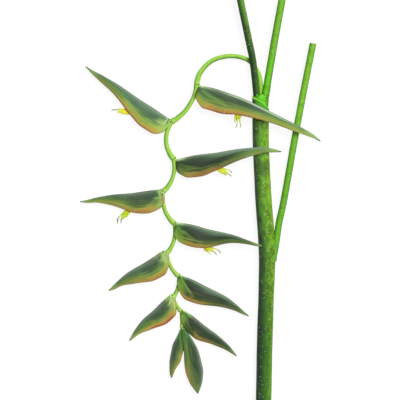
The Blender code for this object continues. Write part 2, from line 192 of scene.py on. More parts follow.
def ring_axes(line):
    """At each point of a line, a way to its right and a way up, without twist."""
    axes = []
    ahead = (line[1] - line[0]).normalized()
    right = ahead.cross(Vector((0, 0, 1))).normalized()
    for i in range(len(line)):
        new = (line[min(i + 1, len(line) - 1)] - line[max(i - 1, 0)]).normalized()
        right = ahead.rotation_difference(new) @ right
        ahead = new
        right = (right - ahead * right.dot(ahead)).normalized()
        axes.append((np.array(right), np.array(right.cross(ahead))))
    return axes


def sweep(line, radii, sides, flat=1, swell=None, close=(0.9, 0.55, 0.15)):
    """The form of a stalk. flat squashes its rings' height, and swell(i, angles) adds to the radius. close
    holds the shrinking rings of the two end faces."""
    angles = ring_angles(sides)
    axes = ring_axes(line)
    length = distances(line)
    rows = [(0, share) for share in reversed(close)] + [(i, 1) for i in range(len(line))]
    rows += [(len(line) - 1, share) for share in close]
    rings = []
    for i, share in rows:
        aside, up = axes[i]
        grow = 0 if swell is None else swell(i, angles)
        reach = ((radii[i] + grow) * share * np.ones(sides))[:, None]
        spokes = np.outer(np.cos(angles), aside) + np.outer(np.sin(angles), up) * flat
        cut = 0 if share == 1 else 1 - share + 0.1
        traits = {"along": length[i], "cut": cut, "right": spokes[:, 0], "top": spokes[:, 2]}
        rings.append((np.array(line[i]) + spokes * reach, traits))
    return tube(rings)


def rough(place, size, seed=0):
    """A smooth random height from -1 to 1, with bumps of about that size in millimetres."""
    return noise.noise(Vector(place) / size + Vector((seed * 7.3, seed * 3.1, seed)))


def dents(angles, radius, along, size, seed=0):
    """Rough heights round one ring of a stalk."""
    return np.array([rough((math.cos(a) * radius, along, math.sin(a) * radius), size, seed) for a in angles])


print("a ring's dents:", dents(ring_angles(4), 5, 0, 7, 2).round(2))

# %% [markdown]
# ## Colours
# Colours are written as on a screen, such as 4A6650, and turned into the linear values that Blender works
# with. A ramp is a list of stops: places from 0 to 1 with their colours.

# %% Colours and ramps
def srgb(code):
    parts = [int(code[i : i + 2], 16) / 255 for i in (0, 2, 4)]
    return tuple(p / 12.92 if p <= 0.04045 else ((p + 0.055) / 1.055) ** 2.4 for p in parts)


def between(first, second, share):
    """A colour between two others."""
    return tuple(lerp(a, b, share) for a, b in zip(first, second))


def stops(places, codes):
    """A ramp's stops from their places and their screen colours."""
    return [(place, srgb(code)) for place, code in zip(places, codes.split())]


def blend(first, second, share):
    """Stops between two lists of stops at the same places."""
    return [(a[0], between(a[1], b[1], share)) for a, b in zip(first, second)]


print("a fresh green in linear values:", [round(part, 3) for part in srgb("66A234")])

# %% [markdown]
# ## Shader sums
# A material's node tree is easier to read as a sum than as a plate of wires. The class below wraps one
# output of a node, and Python's operators on it add Math nodes. Those would turn a colour grey, so `paint`
# lays one colour over another by a mask, with a Mix node. Any other node comes from the method `node`.

# %% The wire class
class Wire:
    """An output of a shader node that Python's operators work on. Without an output it starts a new tree."""

    def __init__(self, tree, output=None):
        self.tree = tree
        self.output = output

    def node(self, kind, settings=None, values=None, output=0):
        """Adds a node, with its settings first and then its sockets' values or wires."""
        made = self.tree.nodes.new(kind)
        for key, value in (settings or {}).items():
            if key == "stops":
                ramp = made.color_ramp.elements
                while len(ramp) < len(value):
                    ramp.new(0.5)
                for stop, (place, colour) in zip(ramp, value):
                    stop.position = place
                    stop.color = (*colour, 1)
            else:
                setattr(made, key, value)
        for key, value in (values or {}).items():
            if isinstance(value, Wire):
                self.tree.links.new(value.output, made.inputs[key])
            else:
                made.inputs[key].default_value = value
        return Wire(self.tree, made.outputs[output])

    def math(self, operation, other):
        return self.node("ShaderNodeMath", {"operation": operation}, {0: self, 1: other})

    def __add__(self, other):
        return self.math("ADD", other)

    def __sub__(self, other):
        return self.math("SUBTRACT", other)

    def __rsub__(self, other):
        return (self * -1).math("ADD", other)

    def __mul__(self, other):
        return self.math("MULTIPLY", other)

    __radd__ = __add__
    __rmul__ = __mul__

    def ease(self, low, high):
        """0 below low, 1 above high, or the other way round where low is the larger."""
        values = {"Value": self, "From Min": min(low, high), "From Max": max(low, high)}
        values.update({"To Min": float(low > high), "To Max": float(low < high)})
        return self.node("ShaderNodeMapRange", {"interpolation_type": "SMOOTHSTEP"}, values)

    def hill(self, foot, start, end, far):
        """0 up to foot, 1 from start to end, and 0 again from far on."""
        return self.ease(foot, start) * self.ease(far, end)

    def pick(self, low, high):
        """The colour low where this is 0 and high where it is 1. Each is a code, linear values or a wire."""
        values = {0: self}
        for socket, colour in ((6, low), (7, high)):
            if isinstance(colour, str):
                colour = srgb(colour)
            values[socket] = colour if isinstance(colour, Wire) else (*colour, 1)
        return self.node("ShaderNodeMix", {"data_type": "RGBA"}, values, output=2)

    def paint(self, mask, colour):
        """This colour, with another one laid over it where the mask is 1."""
        return mask.pick(self, colour)

    def ramp(self, colours):
        """The colour of a ramp, given by its stops, at this value."""
        return self.node("ShaderNodeValToRGB", {"stops": colours}, {"Fac": self})

    def traits(self, *names):
        """Numbers that the mesh stores at its points."""
        return [self.node("ShaderNodeAttribute", {"attribute_name": name}, output="Fac") for name in names]

    def place(self, x, y, z):
        """A vector from three numbers or wires."""
        return self.node("ShaderNodeCombineXYZ", None, {0: x, 1: y, 2: z})

    def cloud(self, vector, scale, detail):
        """Soft random values from 0 to 1."""
        return self.node("ShaderNodeTexNoise", None, {"Vector": vector, "Scale": scale, "Detail": detail})

    def specks(self, vector, scale, low, high):
        """Round specks, about one in each cell: 1 inside low and 0 outside high, as shares of a cell."""
        return self.node("ShaderNodeTexVoronoi", None, {"Vector": vector, "Scale": scale}).ease(high, low)


# %% [markdown]
# Every skin is a Principled material: a waxy plant skin shines only a little, and its bumps are fractions
# of a millimetre. Two functions open and close each one.

# %% Open and close a skin
SHINE = 0.09
VIEWPORT_GREEN = (0.2, 0.4, 0.1, 1)


def start_skin(name, coat=0.0):
    """A new Principled material and the wire that starts its tree."""
    skin = bpy.data.materials.new(name)
    skin.use_nodes = True
    skin.diffuse_color = VIEWPORT_GREEN
    sockets = skin.node_tree.nodes["Principled BSDF"].inputs
    sockets["Specular IOR Level"].default_value = SHINE
    sockets["Coat Weight"].default_value = coat
    sockets["Coat Roughness"].default_value = 0.3
    return skin, Wire(skin.node_tree)


def finish_skin(skin, colour, roughness, bump, height):
    """Links the finished colour, roughness and bump, whose height is in millimetres."""
    values = {"Height": bump, "Distance": height * MM, "Strength": 1.0}
    normal = bump.node("ShaderNodeBump", None, values, output="Normal")
    tree = skin.node_tree
    for socket, wire in (("Base Color", colour), ("Roughness", roughness), ("Normal", normal)):
        tree.links.new(wire.output, tree.nodes["Principled BSDF"].inputs[socket])
    print(skin.name, len(tree.nodes), "nodes")
    return skin


# %% [markdown]
# ## The thick stem
# The stem is rolled leaf sheaths, not wood. The outer one ends in an oblique rim, below which the skin is
# waxy, dark and bluish on its left side and fresh green on the other: partly its own colour, and partly
# painted shade on the left, away from the lamp, with pale patches of painted light on the right. It has
# small red-brown spots, dark mottling and tiny pale pores. Each layer of the skin is a colour painted
# through a mask, which is made from the traits and soft noise.

# %% The thick stem's skin
def make_stem_skin():
    skin, start = start_skin("stem_skin")
    right, top, along, cut, lip = start.traits("right", "top", "along", "cut", "lip")
    place = start.place(right * 12, along, top * 12)
    streaks = start.cloud(start.place(right * 9, along * 0.04, top * 9), 1.0, 3.0)
    patches = start.cloud(start.place(right * 12, along * 0.6, top * 12), 0.11, 3.0)
    grain = start.cloud(place, 0.6, 2.0)
    # side runs round the stem from its left to its right. Its ramps hold the stem's own bluish and fresh
    # greens, with painted shade on the left, away from the lamp.
    side = right * 0.5 + 0.5 + (patches - 0.5) * 0.6 + (streaks - 0.5) * 0.45 + (grain - 0.5) * 0.25
    across = (0.05, 0.22, 0.45, 0.7, 0.95)
    upper = side.ramp(stops(across, "364C2C 547C34 66A234 6CA028 84BC28"))
    colour = upper.paint(along.ease(370, 60), side.ramp(stops(across, "2E4034 304C34 3C602C 467C24 669C26")))
    blots = start.cloud(start.place(right * 12, along * 0.7, top * 12 + 40), 0.17, 3.0)
    colour = colour.paint(blots.ease(0.5, 0.64) * 0.4, "3C5C2A")
    # Pale patches on the right side only: painted light where the lamp falls.
    light = blots.ease(0.56, 0.38) * right.ease(-0.3, 0.3) * along.ease(60, 330)
    colour = colour.paint(light * 0.6, "88BE34")
    near_rim = along.hill(400, 412, 428, 442) * right.ease(0.6, 0.1)
    band = along.hill(340, 352, 364, 376) * right.ease(1.0, 0.7)
    colour = colour.paint((near_rim + band) * patches.ease(0.38, 0.5) * 0.6, "42562A")
    colour = colour.paint(along.ease(436, 446) * right.ease(-0.8, -0.3) * 0.8, "55A426")
    rust = start.specks(place, 0.2, 0.2, 0.42) * start.cloud(place, 0.06, 1.0).ease(0.44, 0.52)
    rust = rust * right.ease(-0.3, 0.2) * along.hill(40, 130, 380, 412)
    colour = colour.paint(rust * 0.75, "684018")
    pores = start.specks(place, 0.3, 0.1, 0.24) * start.cloud(place, 0.11, 0.0).ease(0.46, 0.54)
    colour = colour.paint(pores * 0.8, "D0E8BC")
    flesh = start.cloud(place, 1.6, 2.0).pick("C9D9A0", "9CB873")
    colour = colour.paint(cut.ease(0.02, 0.12), flesh)
    colour = colour.paint(lip.ease(0.2, 0.8), "78C440")
    colour = colour.paint(lip.ease(1.3, 1.6), right.ease(-0.5, -1.0).pick("8CEC48", "C8F8A0"))
    # lip 3 is the notch behind the curl: its dark green is painted shade in the crevice.
    colour = colour.paint(lip.ease(2.3, 2.6), "2E4A18")
    bump = streaks * 0.6 + grain * 0.3 - rust * 0.4 + pores * 0.3
    return finish_skin(skin, colour, 0.42 + grain * 0.15 + rust * 0.2, bump, 0.25)


stem_skin = make_stem_skin()

# %% [markdown]
# The form is a sweep along ten measured stations, with faint ribs and dents that no lathe would leave. It
# lies along the table, so its rings stand upright, and near the top they tilt into the oblique rim. The
# trait "lip" is 0 on the skin, up to 1 on the rim, 2 on a thin curled edge, which is a small sweep of its
# own, and 3 in the notch behind the curl at the lower leaf stalk's foot, a small sunken sweep whose dark
# colour is painted shade.

# %% Sweep the stem
STEM = [  # along the stem, its middle from left to right, its radius
    (-309, 95.3, 11.6), (-225, 96.8, 11.8), (-150, 99.0, 11.7), (-118, 100.0, 12.0), (-93, 100.5, 12.3),
    (-60, 99.6, 12.5), (0, 95.4, 12.4), (45, 92.9, 12.2), (82, 91.4, 12.2), (120, 90.8, 12.5),
]
FOOT_Y = STEM[0][0]
TOP_X, TOP_RADIUS = STEM[-1][1:]
SOLID_SIDES = 24
FINE_SIDES = 96
RIM_Y = 146.5
RIM_SLOPE = -0.77
RIM_LIP = 0.7
RIM_STEPS = ((1.8, 0.02), (1.4, 0.45), (1.0, 0.9), (0.6, 1.0), (0.25, 0.85), (0, 0.4))  # below the rim, lip


def lying_height(radius):
    """The height of a lying stem's middle. Its underside is a narrow flat, as on the solid."""
    return radius * math.cos(math.pi / SOLID_SIDES)


def lying_ring(middle, reach, slope, angles, traits, wave=0):
    """A ring across a stalk that lies along y, tilted by the slope. No point goes below the table."""
    x, y, z = middle
    dx, dz = reach * np.cos(angles), reach * np.sin(angles)
    points = np.column_stack([x + dx, y + slope * dx + wave, np.maximum(z + dz, 0)])
    return points, {**traits, "right": np.cos(angles), "top": np.sin(angles)}


def stem_rows():
    """(y, x, radius, slope, lip) of the stem's rings, from its cut foot to the rim."""
    rows = []
    for station in smooth_line([(x, y, r) for y, x, r in STEM], 28):
        rows.append((station.y, station.x, station.z, RIM_SLOPE * float(ease(105, 122, station.y)), 0))
    rows += [(RIM_Y - below, TOP_X, TOP_RADIUS, RIM_SLOPE, 0) for below in np.linspace(25, 2.6, 26)]
    return rows + [(RIM_Y - below, TOP_X, TOP_RADIUS, RIM_SLOPE, lip) for below, lip in RIM_STEPS]


def stem_form():
    angles = ring_angles(FINE_SIDES)
    rows = stem_rows()
    entries = [(rows[0], share) for share in (0.15, 0.5, 0.85, 0.95)] + [(row, 1) for row in rows]
    entries += [(rows[-1], share) for share in (0.97, 0.9, 0.6, 0.2)]
    rings = []
    for (y, x, radius, slope, lip), share in entries:
        ribs = 0.05 * np.sin(angles * 17 + 1) + 0.04 * np.sin(angles * 29 + y * 0.01)
        reach = (radius + ribs + dents(angles, 12, y * 0.35, 9) * 0.22 + RIM_LIP * lip) * share
        wave = 0.5 * lip * np.sin(angles * 5 + 0.6)
        traits = {"along": y - FOOT_Y + slope * (reach * np.cos(angles)), "cut": 1 - share, "lip": lip}
        rings.append(lying_ring((x, y, lying_height(radius)), reach, slope, angles, traits, wave))
    return tube(rings)


def stem_top(x, y):
    """The height of the thick stem's skin over a place."""
    ys, xs, radii = zip(*STEM)
    middle, radius = float(np.interp(y, ys, xs)), float(np.interp(y, ys, radii))
    return lying_height(radius) + math.sqrt(max(radius**2 - (x - middle) ** 2, 4))


def curl_part(places, radii, lip, lift):
    """A thin rolled edge on the stem, through places seen from above."""
    line = smooth_line([(x, y, stem_top(x, y) + lift) for x, y in places], 8)
    points, faces, traits = sweep(line, stretched(radii, len(line)), 12, close=(0.7, 0.35))
    traits.update({"along": points[:, 1] - FOOT_Y, "right": (points[:, 0] - TOP_X) / TOP_RADIUS})
    traits.update({"cut": np.zeros(len(points)), "lip": np.full(len(points), lip)})
    return points, faces, traits


RIM_CURL = [
    (77.5, 156.4), (79.6, 153.6), (82.6, 150.9), (85.8, 149.7), (88.4, 148.4), (92.4, 145.6), (97.5, 141.6),
    (102.8, 137.4),
]
FOOT_CURL = [(109.3, -92.8), (110.8, -91.2), (112.6, -89), (114.2, -86.8)]
FOOT_NOTCH = [(112.4, -93), (113.9, -91), (115.1, -88.4)]
stem = joined(
    stem_form(),
    curl_part(RIM_CURL, (0.6, 1.1, 1.15, 1.05, 0.9, 0.75, 0.6, 0.6), 2, 0.1),
    curl_part(FOOT_CURL, (0.35, 0.6, 0.65, 0.4), 2, 0.3),
    curl_part(FOOT_NOTCH, (0.4, 0.8, 0.5), 3, -2.5),
)
make_piece("heliconia_stem", stem, stem_skin, "pseudostem")

# %% [markdown]
# ## The leaf stalks
# Two leaf stalks rise from the mouth of the outer sheath, and a third one leaves the stem lower down. All
# have fine lines along them and pale pores, and the left one is older and darker. One function mixes their
# skins from two ramps, which run from a stalk's left side to its right. The ramps hold painted shade: they
# darken towards both edges, and the left stalk's ramps most on its left side, away from the lamp.

# %% A skin for green leaf stalks
ACROSS = (0.02, 0.2, 0.5, 0.8, 0.98)


def make_stalk_skin(name, foot, far, ends):
    """foot and far are the colours of the stalk's lower and its upper end, and ends where they meet."""
    skin, start = start_skin(name + "_stalk_skin")
    right, top, along, cut = start.traits("right", "top", "along", "cut")
    mouth, frill = start.traits("mouth", "frill")
    place = start.place(right * 5, along, top * 5)
    lines = start.cloud(start.place(right * 9, along * 0.03, top * 9), 1.0, 3.0)
    patches = start.cloud(place, 0.07, 2.0)
    # side runs from the stalk's left edge to its right. The ramps along it are painted shade towards the
    # edges.
    side = right * 0.5 + 0.5 + (lines - 0.5) * 0.3 + (patches - 0.5) * 0.3
    upward = (along + (patches - 0.5) * 60).ease(*ends)
    colour = upward.pick(side.ramp(stops(ACROSS, foot)), side.ramp(stops(ACROSS, far)))
    blots = start.cloud(start.place(right * 5, along, top * 5 + 30), 0.16, 3.0)
    colour = colour.paint(blots.ease(0.5, 0.64) * 0.3, "3A6A22")
    pores = start.specks(place, 0.28, 0.1, 0.24) * start.cloud(place, 0.13, 0.0).ease(0.5, 0.58)
    pores = pores * along.ease(25, 45)
    colour = colour.paint(pores * 0.6, "DAF0C0")
    colour = colour.paint(mouth * right.ease(0.0, -0.35), "3C6A2E")
    colour = colour.paint(mouth * right.hill(-0.4, -0.15, 0.05, 0.3), "8ED63C")
    # The frills' bright pale green is partly a painted highlight on their glossy crests.
    colour = colour.paint(frill.ease(0.2, 0.6), lines.pick("54DC14", "8CF448"))
    flesh = start.cloud(place, 2.5, 2.0).pick("C4DE9A", "8FBC5A")
    colour = colour.paint(cut.ease(0.02, 0.2), flesh)
    return finish_skin(skin, colour, 0.36 + lines * 0.15, lines * 0.7 + pores * 0.3, 0.15)


right_skin = make_stalk_skin(
    "right", "529C1A 60C41A 6CCC20 62B020 4C861C", "4E8424 6CAC2C 78BC2E 7ABC32 5C8A26", (15, 110))
lower_skin = make_stalk_skin(
    "lower", "548C28 64A82A 6EB828 6CB42C 508628", "5E9424 78B82E 7EC22E 74B62C 60982A", (110, 260))
left_skin = make_stalk_skin(
    "left", "2C4222 2A4226 304A29 446A2E 5A8238", "324A2A 3A5C28 4C7A2A 70A638 80AC4A", (70, 145))

# %% [markdown]
# The right stalk grows out of the inner sheath that fills the stem's mouth, so both are one piece, lofted
# from the sheath's wide rings over a shoulder to the stalk's narrow ones. The trait "mouth" marks the band
# of sheath that shows, and "frill" the short wavy folds that lie over it, whose bright pale green is partly
# their own colour and partly a painted highlight on their glossy crests.

# %% Loft the inner sheath into the right stalk
RIGHT_STALK = [
    (98.9, 160.5, 12.3), (100.2, 168, 12.3), (101.9, 180, 12.4),
    (107, 210, 13), (112, 240, 14), (124.4, 308, 17),
]
RIGHT_STALK_RADIUS = (5.6, 5.4)
THROAT_SIDES = 72
THROAT_RADIUS = TOP_RADIUS - 0.9
THROAT_TOP = 157.5
THROAT_SHIFT = 1.2
# How far each ring of the shoulder lies above the throat's top and to the right, and how much thinner it is.
THROAT_SHOULDER = ((-1.2, 1.3, 0.9), (-0.2, 2.6, 1.8), (0.5, 5.4, 4.2), (1.2, 7.8, 6.4))
FRILLS = [  # seen from above
    [(84.4, 157.6), (85.8, 156.6), (86.9, 154.4)],
    [(88.8, 156.6), (90.6, 156.4), (92.2, 155), (92.8, 153.2)],
    [(92.8, 152.4), (94.6, 153.6), (96.4, 154.4), (98.4, 154)],
    [(87.6, 152.8), (90, 152), (92, 150.8), (94, 149)],
    [(94.6, 151.4), (96.2, 150.6), (97.8, 149.2)],
    [(93.2, 148.4), (95.4, 145.6), (97.2, 142.4)],
]


def right_stalk_rows():
    """(middle, radius, slope, share) of the sheath's rings and then the stalk's."""
    height = lying_height(TOP_RADIUS)
    low = Vector((TOP_X, RIM_Y - 1.2, height))
    rows = [(low, THROAT_RADIUS, RIM_SLOPE, share) for share in (0.2, 0.7, 1)]
    for share in np.linspace(0.1, 1, 9):
        middle = Vector((TOP_X + THROAT_SHIFT * share, lerp(RIM_Y, THROAT_TOP - 1.2, share), height))
        rows.append((middle, THROAT_RADIUS, RIM_SLOPE * lerp(1, 0.1, share), 1))
    for above, shift, shrink in THROAT_SHOULDER:
        middle = Vector((TOP_X + shift, THROAT_TOP + above, height))
        rows.append((middle, TOP_RADIUS - shrink, RIM_SLOPE * 0.1, 1))
    line = smooth_line(RIGHT_STALK, 14)
    for i, point in enumerate(line):
        ahead = line[min(i + 1, len(line) - 1)] - line[max(i - 1, 0)]
        rows.append((point, lerp(*RIGHT_STALK_RADIUS, i / (len(line) - 1)), -ahead.x / ahead.y, 1))
    return rows + [(*rows[-1][:3], share) for share in (0.93, 0.6, 0.2)]


def right_stalk_form():
    """The rings on one set of angles, so that sheath and stalk join without a twist."""
    angles = ring_angles(THROAT_SIDES)
    rings = []
    for middle, radius, slope, share in right_stalk_rows():
        reach = (radius + dents(angles, 6, middle.y * 0.4, 7, 2) * 0.12) * share
        above = middle.y - RIM_Y
        traits = {"along": above, "cut": 1 - share, "frill": 0, "mouth": hill(3, 7, 11.5, 13.5, above)}
        rings.append(lying_ring(middle, reach, slope, angles, traits))
    return tube(rings)


def frill_part(places, seed):
    """A short fold that waves over the sheath's skin."""
    line = []
    for i, (x, y) in enumerate(places):
        skin_height = math.sqrt(THROAT_RADIUS**2 - (x - TOP_X - THROAT_SHIFT) ** 2)
        line.append((x, y, lying_height(TOP_RADIUS) + skin_height + 0.35 + 0.3 * math.sin(i * 2 + seed)))
    line = smooth_line(line, 8)
    radii = stretched((0.5, 1.05, 0.9, 1.1, 0.4), len(line))
    points, faces, traits = sweep(line, radii, 14, flat=0.8, close=(0.7, 0.35))
    nothing = np.zeros(len(points))
    return points, faces, {**traits, "cut": nothing, "mouth": nothing, "frill": nothing + 1}


right_stalk = joined(right_stalk_form(), *[frill_part(places, seed) for seed, places in enumerate(FRILLS)])
make_piece("right_leaf_stalk", right_stalk, right_skin, "leaf_stalk_right")

# %% [markdown]
# The other two are plain sweeps with slight dents. The left one passes in front of the flower stalk.

# %% Sweep the left and the lower stalk
LEFT_STALK = [
    (84.9, 156, 15.0), (84.4, 161, 15.3), (82.6, 180, 17), (78.9, 210, 19), (72.7, 240, 21), (58.5, 308, 25),
]
LOWER_STALK = [
    (108.8, -92, 12.4), (110.6, -83, 12.4), (113.6, -67, 12.4), (118.6, -34, 12.4),
    (125.9, 0, 12.6), (140.7, 84, 14), (152.8, 150, 15.5), (169.3, 234.5, 17.5),
]


def plain_stalk(route, end_radii, seed):
    """A leaf stalk from its route and the radii of its two ends."""
    line = smooth_line(route, 20)

    def swell(i, angles):
        return dents(angles, 5, i * 0.8, 6, seed) * 0.15

    return sweep(line, stretched(end_radii, len(line)), 48, swell=swell)


left_stalk = plain_stalk(LEFT_STALK, (5.1, 5.4), 3)
lower_stalk = plain_stalk(LOWER_STALK, (5.2, 5.1), 4)
make_piece("left_leaf_stalk", left_stalk, left_skin, "leaf_stalk_left")
make_piece("lower_leaf_stalk", lower_stalk, lower_skin, "leaf_stalk_lower")

# %% [markdown]
# ## Where the bracts lie
# Each bract is measured along its chord, the straight line from the joint to its tip: how far its keel
# stands off it, and how far its margins lie below the keel. The same numbers gave the plain solids their
# form, so the fine pieces fit over them. side is 1 for a bract that points right and -1 for the others.
# gape says how far its cheeks bend back in at the margins, where 1 is not at all, and clasp how far along
# it the gape changes. lift, rise and lean_at raise it off the table, and crimp is how wavy its margins are.

# %% The bracts' numbers
STATIONS = (0, 0.04, 0.1, 0.22, 0.36, 0.64, 0.81, 0.92, 1)
Bract = namedtuple("Bract", "name side base tip keel depth half_width gape clasp lift rise lean_at crimp")
BRACTS = [
    Bract("bract_1", 1, (-0.8, 171.3), (180, 88.6), (2.6, 5.2, 7.8, 9.4, 7.8, 6.4, 4.6),
          (14, 26, 33.4, 33, 25.4, 13.7, 10, 6.1), 10.4, 0.42, 0.25, 6.3, 16.4, 0.5, 1),
    Bract("bract_2", -1, (-42.8, 120.2), (-171, 201), (0, 0, 0.7, 0.7, 2.4, 1.7, 0.3),
          (18, 28, 32.5, 33.4, 28, 15.1, 9.8, 5), 10.4, 0.42, 0.25, 0, 0, 1, 0.5),
    Bract("bract_3", 1, (-36, 61.2), (121.5, 73), (0.8, 2.1, 4.3, 5, 8.4, 8.7, 5),
          (17, 25, 30.9, 32.7, 26.9, 15.2, 9.4, 6), 10, 0.42, 0.25, 0.4, 19, 0.78, 0.25),
    Bract("bract_4", -1, (-55.5, 16.8), (-180, -1.5), (0, 0.2, 0.5, 0.4, 2.5, 1.8, 0.4),
          (15, 25.5, 30, 33.5, 30.5, 15.4, 7.6, 4.6), 10.2, 0.42, 0.25, 0, 0, 1, 0.5),
    Bract("bract_5", 1, (-36, -34.5), (95.3, -68.2), (2, 2.9, 3.8, 3.2, 4.4, 2.4, 0.8),
          (12, 23.6, 29.8, 32.4, 29.3, 12.7, 6.6, 4.1), 9.5, 0.42, 0.25, 0.4, 16, 1, 0.25),
    Bract("bract_6", -1, (-52.5, -75.8), (-137.3, -135), (1.4, 2, 2.2, 2.8, 5, 3.5, 1.6),
          (8, 16.4, 25.6, 31.7, 30.5, 19.2, 9.6, 6), 8.8, 0.28, 0.25, 0, 0, 1, 0.25),
    Bract("bract_7", 1, (-30, -113.3), (73.5, -173.3), (2, 3.2, 4.7, 5.5, 7.4, 4.8, 2),
          (8, 17, 25, 31.5, 29.3, 17.4, 9.4, 5.1), 8.5, 0.28, 0.25, 0, 0, 1, 0.4),
    Bract("bract_8", -1, (-42.8, -141.8), (-106.5, -210.5), (1.4, 2.3, 3.2, 3.6, 6.1, 4.5, 2.4),
          (7, 13, 21, 28.9, 28.5, 18.8, 9.6, 5.4), 8, 0.25, 0.25, 0, 0, 1, 0.25),
    Bract("bract_9", 1, (-24.8, -166.5), (55.5, -233.6), (2, 3, 3.5, 3.6, 5.2, 4.3, 2.3),
          (7, 12, 18, 23.8, 24.4, 15.3, 8.9, 5), 7.6, 0.25, 0.25, 0, 0, 1, 0.25),
    Bract("bract_tip_right", 1, (-22.5, -194.3), (-2.3, -290.3), (2.4, 4.9, 9.3, 13, 14.4, 10.6, 5.4),
          (6, 8.5, 10.9, 16.2, 22, 26.6, 20.4, 10.9), 7.6, 0.25, 0.7, 0, 0, 1, 0),
    Bract("bract_tip_left", -1, (-29.3, -193.5), (-43.5, -267), (0.9, 1.9, 4.5, 7.1, 7.3, 5.4, 3.4),
          (4, 5.6, 8, 13.3, 17.8, 16.6, 9.6, 6), 3.8, 0.35, 0.1, 3.8, 0, 1, 0),
]
WIDTH_SHARE = (0.52, 0.72, 0.92, 1, 0.86, 0.5, 0.28, 0.17, 0.09)
WALL = 1.3
EDGE_WALL = 0.8
FLAT = 0.45  # how far the lowest cheeks are pressed flat on the table
FLAT_WALL = 0.3  # what is left of the wall there, at least
TIP_DEPTH = 1.4


def plane_height(bract, t):
    """The height of the middle plane between a bract's cheeks, at the share t of its chord."""
    return bract.half_width + WALL / 2 - FLAT + bract.lift + bract.rise * ease(0, bract.lean_at, t)


def bract_axes(bract):
    """The bract's base, its chord and the level way from the chord to the keel."""
    base = np.array(bract.base)
    chord = np.array(bract.tip) - base
    along = chord / np.linalg.norm(chord)
    return base, chord, np.array((-along[1], along[0])) * bract.side


def bract_length(bract):
    return float(np.linalg.norm(bract_axes(bract)[1]))


def bract_depth(bract, t):
    return through(STATIONS, (*bract.depth, TIP_DEPTH), t)


def bract_keel(bract, t):
    return through(STATIONS, (0, *bract.keel, 0), t)


def in_plane(bract, t, below_keel):
    """The point in a bract's middle plane, at the share t of its chord and that far below its keel."""
    base, chord, keelward = bract_axes(bract)
    flat = base + chord * t + keelward * (bract_keel(bract, t) - below_keel)
    return Vector((flat[0], flat[1], float(plane_height(bract, t))))


print("bracts' lengths:", [round(bract_length(bract)) for bract in BRACTS])

# %% [markdown]
# ## The flower stalk
# The bare arch leaves the sheath's mouth, bends over and hangs down in a zigzag. Its skin is yellow-green,
# paler on the swelling at each joint, partly as a painted highlight, with a thin groove at each that is
# darkened with painted shade. The trait "shaded" is high on the side away from the light, where the skin
# is painted darker: the arch's underside, and the left side of all that hangs from it.

# %% The flower stalk's skin
def make_flower_stalk_skin():
    skin, start = start_skin("flower_stalk_skin", coat=0.02)
    right, top, along, cut = start.traits("right", "top", "along", "cut")
    shaded, joint, groove = start.traits("shaded", "joint", "groove")
    lines = start.cloud(start.place(right * 8, along * 0.06, top * 8), 1.0, 3.0)
    patches = start.cloud(start.place(right * 4, along, top * 4), 0.08, 2.0)
    shade = shaded * 0.5 + 0.5 + (lines - 0.5) * 0.25 + (patches - 0.5) * 0.3
    shade = shade + along.ease(165, 140) * 0.12
    colour = shade.ramp(stops((0.05, 0.35, 0.6, 0.8, 0.97), "9CD04C AADC56 98D048 78B03C 5E8E34"))
    # Paler on each joint's swelling, partly a painted highlight, and dark in the groove, as painted shade.
    colour = colour.paint(joint.ease(0.2, 0.9) * 0.45, "C3E87A")
    colour = colour.paint(groove.ease(0.2, 0.9) * 0.8, "4A7A1E")
    colour = colour.paint(cut.ease(0.02, 0.2), "B9DC86")
    return finish_skin(skin, colour, 0.34 + lines * 0.16, lines, 0.12)


flower_stalk_skin = make_flower_stalk_skin()

# %% [markdown]
# The stalk is one sweep of a line through the arch and the joints. At each joint it is thicker, with a fine
# ring where the next stretch starts, and each stretch bows to the side of the bract at its top.

# %% The flower stalk's line
ARCH = [
    (91.9, 155, 7.8), (91.6, 170, 7.8), (87, 192, 8.1), (71, 210.6, 9.2), (45, 216, 11.5), (18, 208.8, 14),
    (0.2, 190.5, 16.4),
]
ARCH_RADII = (3.9, 3.8, 3.5, 3.3, 3.35, 3.45, 3.85)
JOINTS = [
    (-4.8, 173.3), (-42, 117.3), (-40, 61.5), (-54.6, 12.8), (-39, -35.3), (-49.5, -80.3),
    (-32.3, -114.5), (-39.8, -146), (-28.5, -167.3), (-26.7, -191.3),
]
BOWS = (8.2, -10, 7.2, -6.9, 5.7, -3.9, 3, -1.6, 0.4)
STRETCH_RADII = (3.3, 3.3, 3.1, 3.1, 2.9, 2.8, 2.7, 2.5, 2.6)
STRETCH_SWELL = ((0.12, -0.04), (0.34, 0), (0.62, 0.03), (0.86, 0.2))  # at these shares, so much thicker
JOINT_SWELL = 0.36
STALK_TIP = 5
STALK_STEPS = 12


def flower_stalk_line():
    """The stalk's middle line, its radii, and which points of the line are joints."""
    joints = [Vector((x, y, float(plane_height(b, 0)))) for (x, y), b in zip(JOINTS, BRACTS)]
    route = [*[Vector(p) for p in ARCH], joints[0]]
    radii = [*ARCH_RADII, STRETCH_RADII[0] * (1 + JOINT_SWELL)]
    marks = [len(ARCH)]
    for start, end, bow, radius in zip(joints, joints[1:], BOWS, STRETCH_RADII):
        chord = end - start
        aside = Vector((-chord.y, chord.x, 0)).normalized()
        for share, swell in STRETCH_SWELL:
            route.append(start + chord * share + aside * bow * 4 * share * (1 - share))
            radii.append(radius * (1 + swell))
        marks.append(len(route))
        route.append(end)
        radii.append(radius * (1 + JOINT_SWELL))
    route.append(joints[-1] + (joints[-1] - joints[-2]).normalized() * STALK_TIP)
    radii.append(STRETCH_RADII[-1] * 0.8)
    line = smooth_line(route, STALK_STEPS)
    fine = np.interp(np.arange(len(line)) / STALK_STEPS, range(len(radii)), radii)
    smooth = np.convolve(np.pad(fine, 4, mode="edge"), np.ones(9) / 9, mode="valid")
    return line, smooth, [mark * STALK_STEPS for mark in marks]


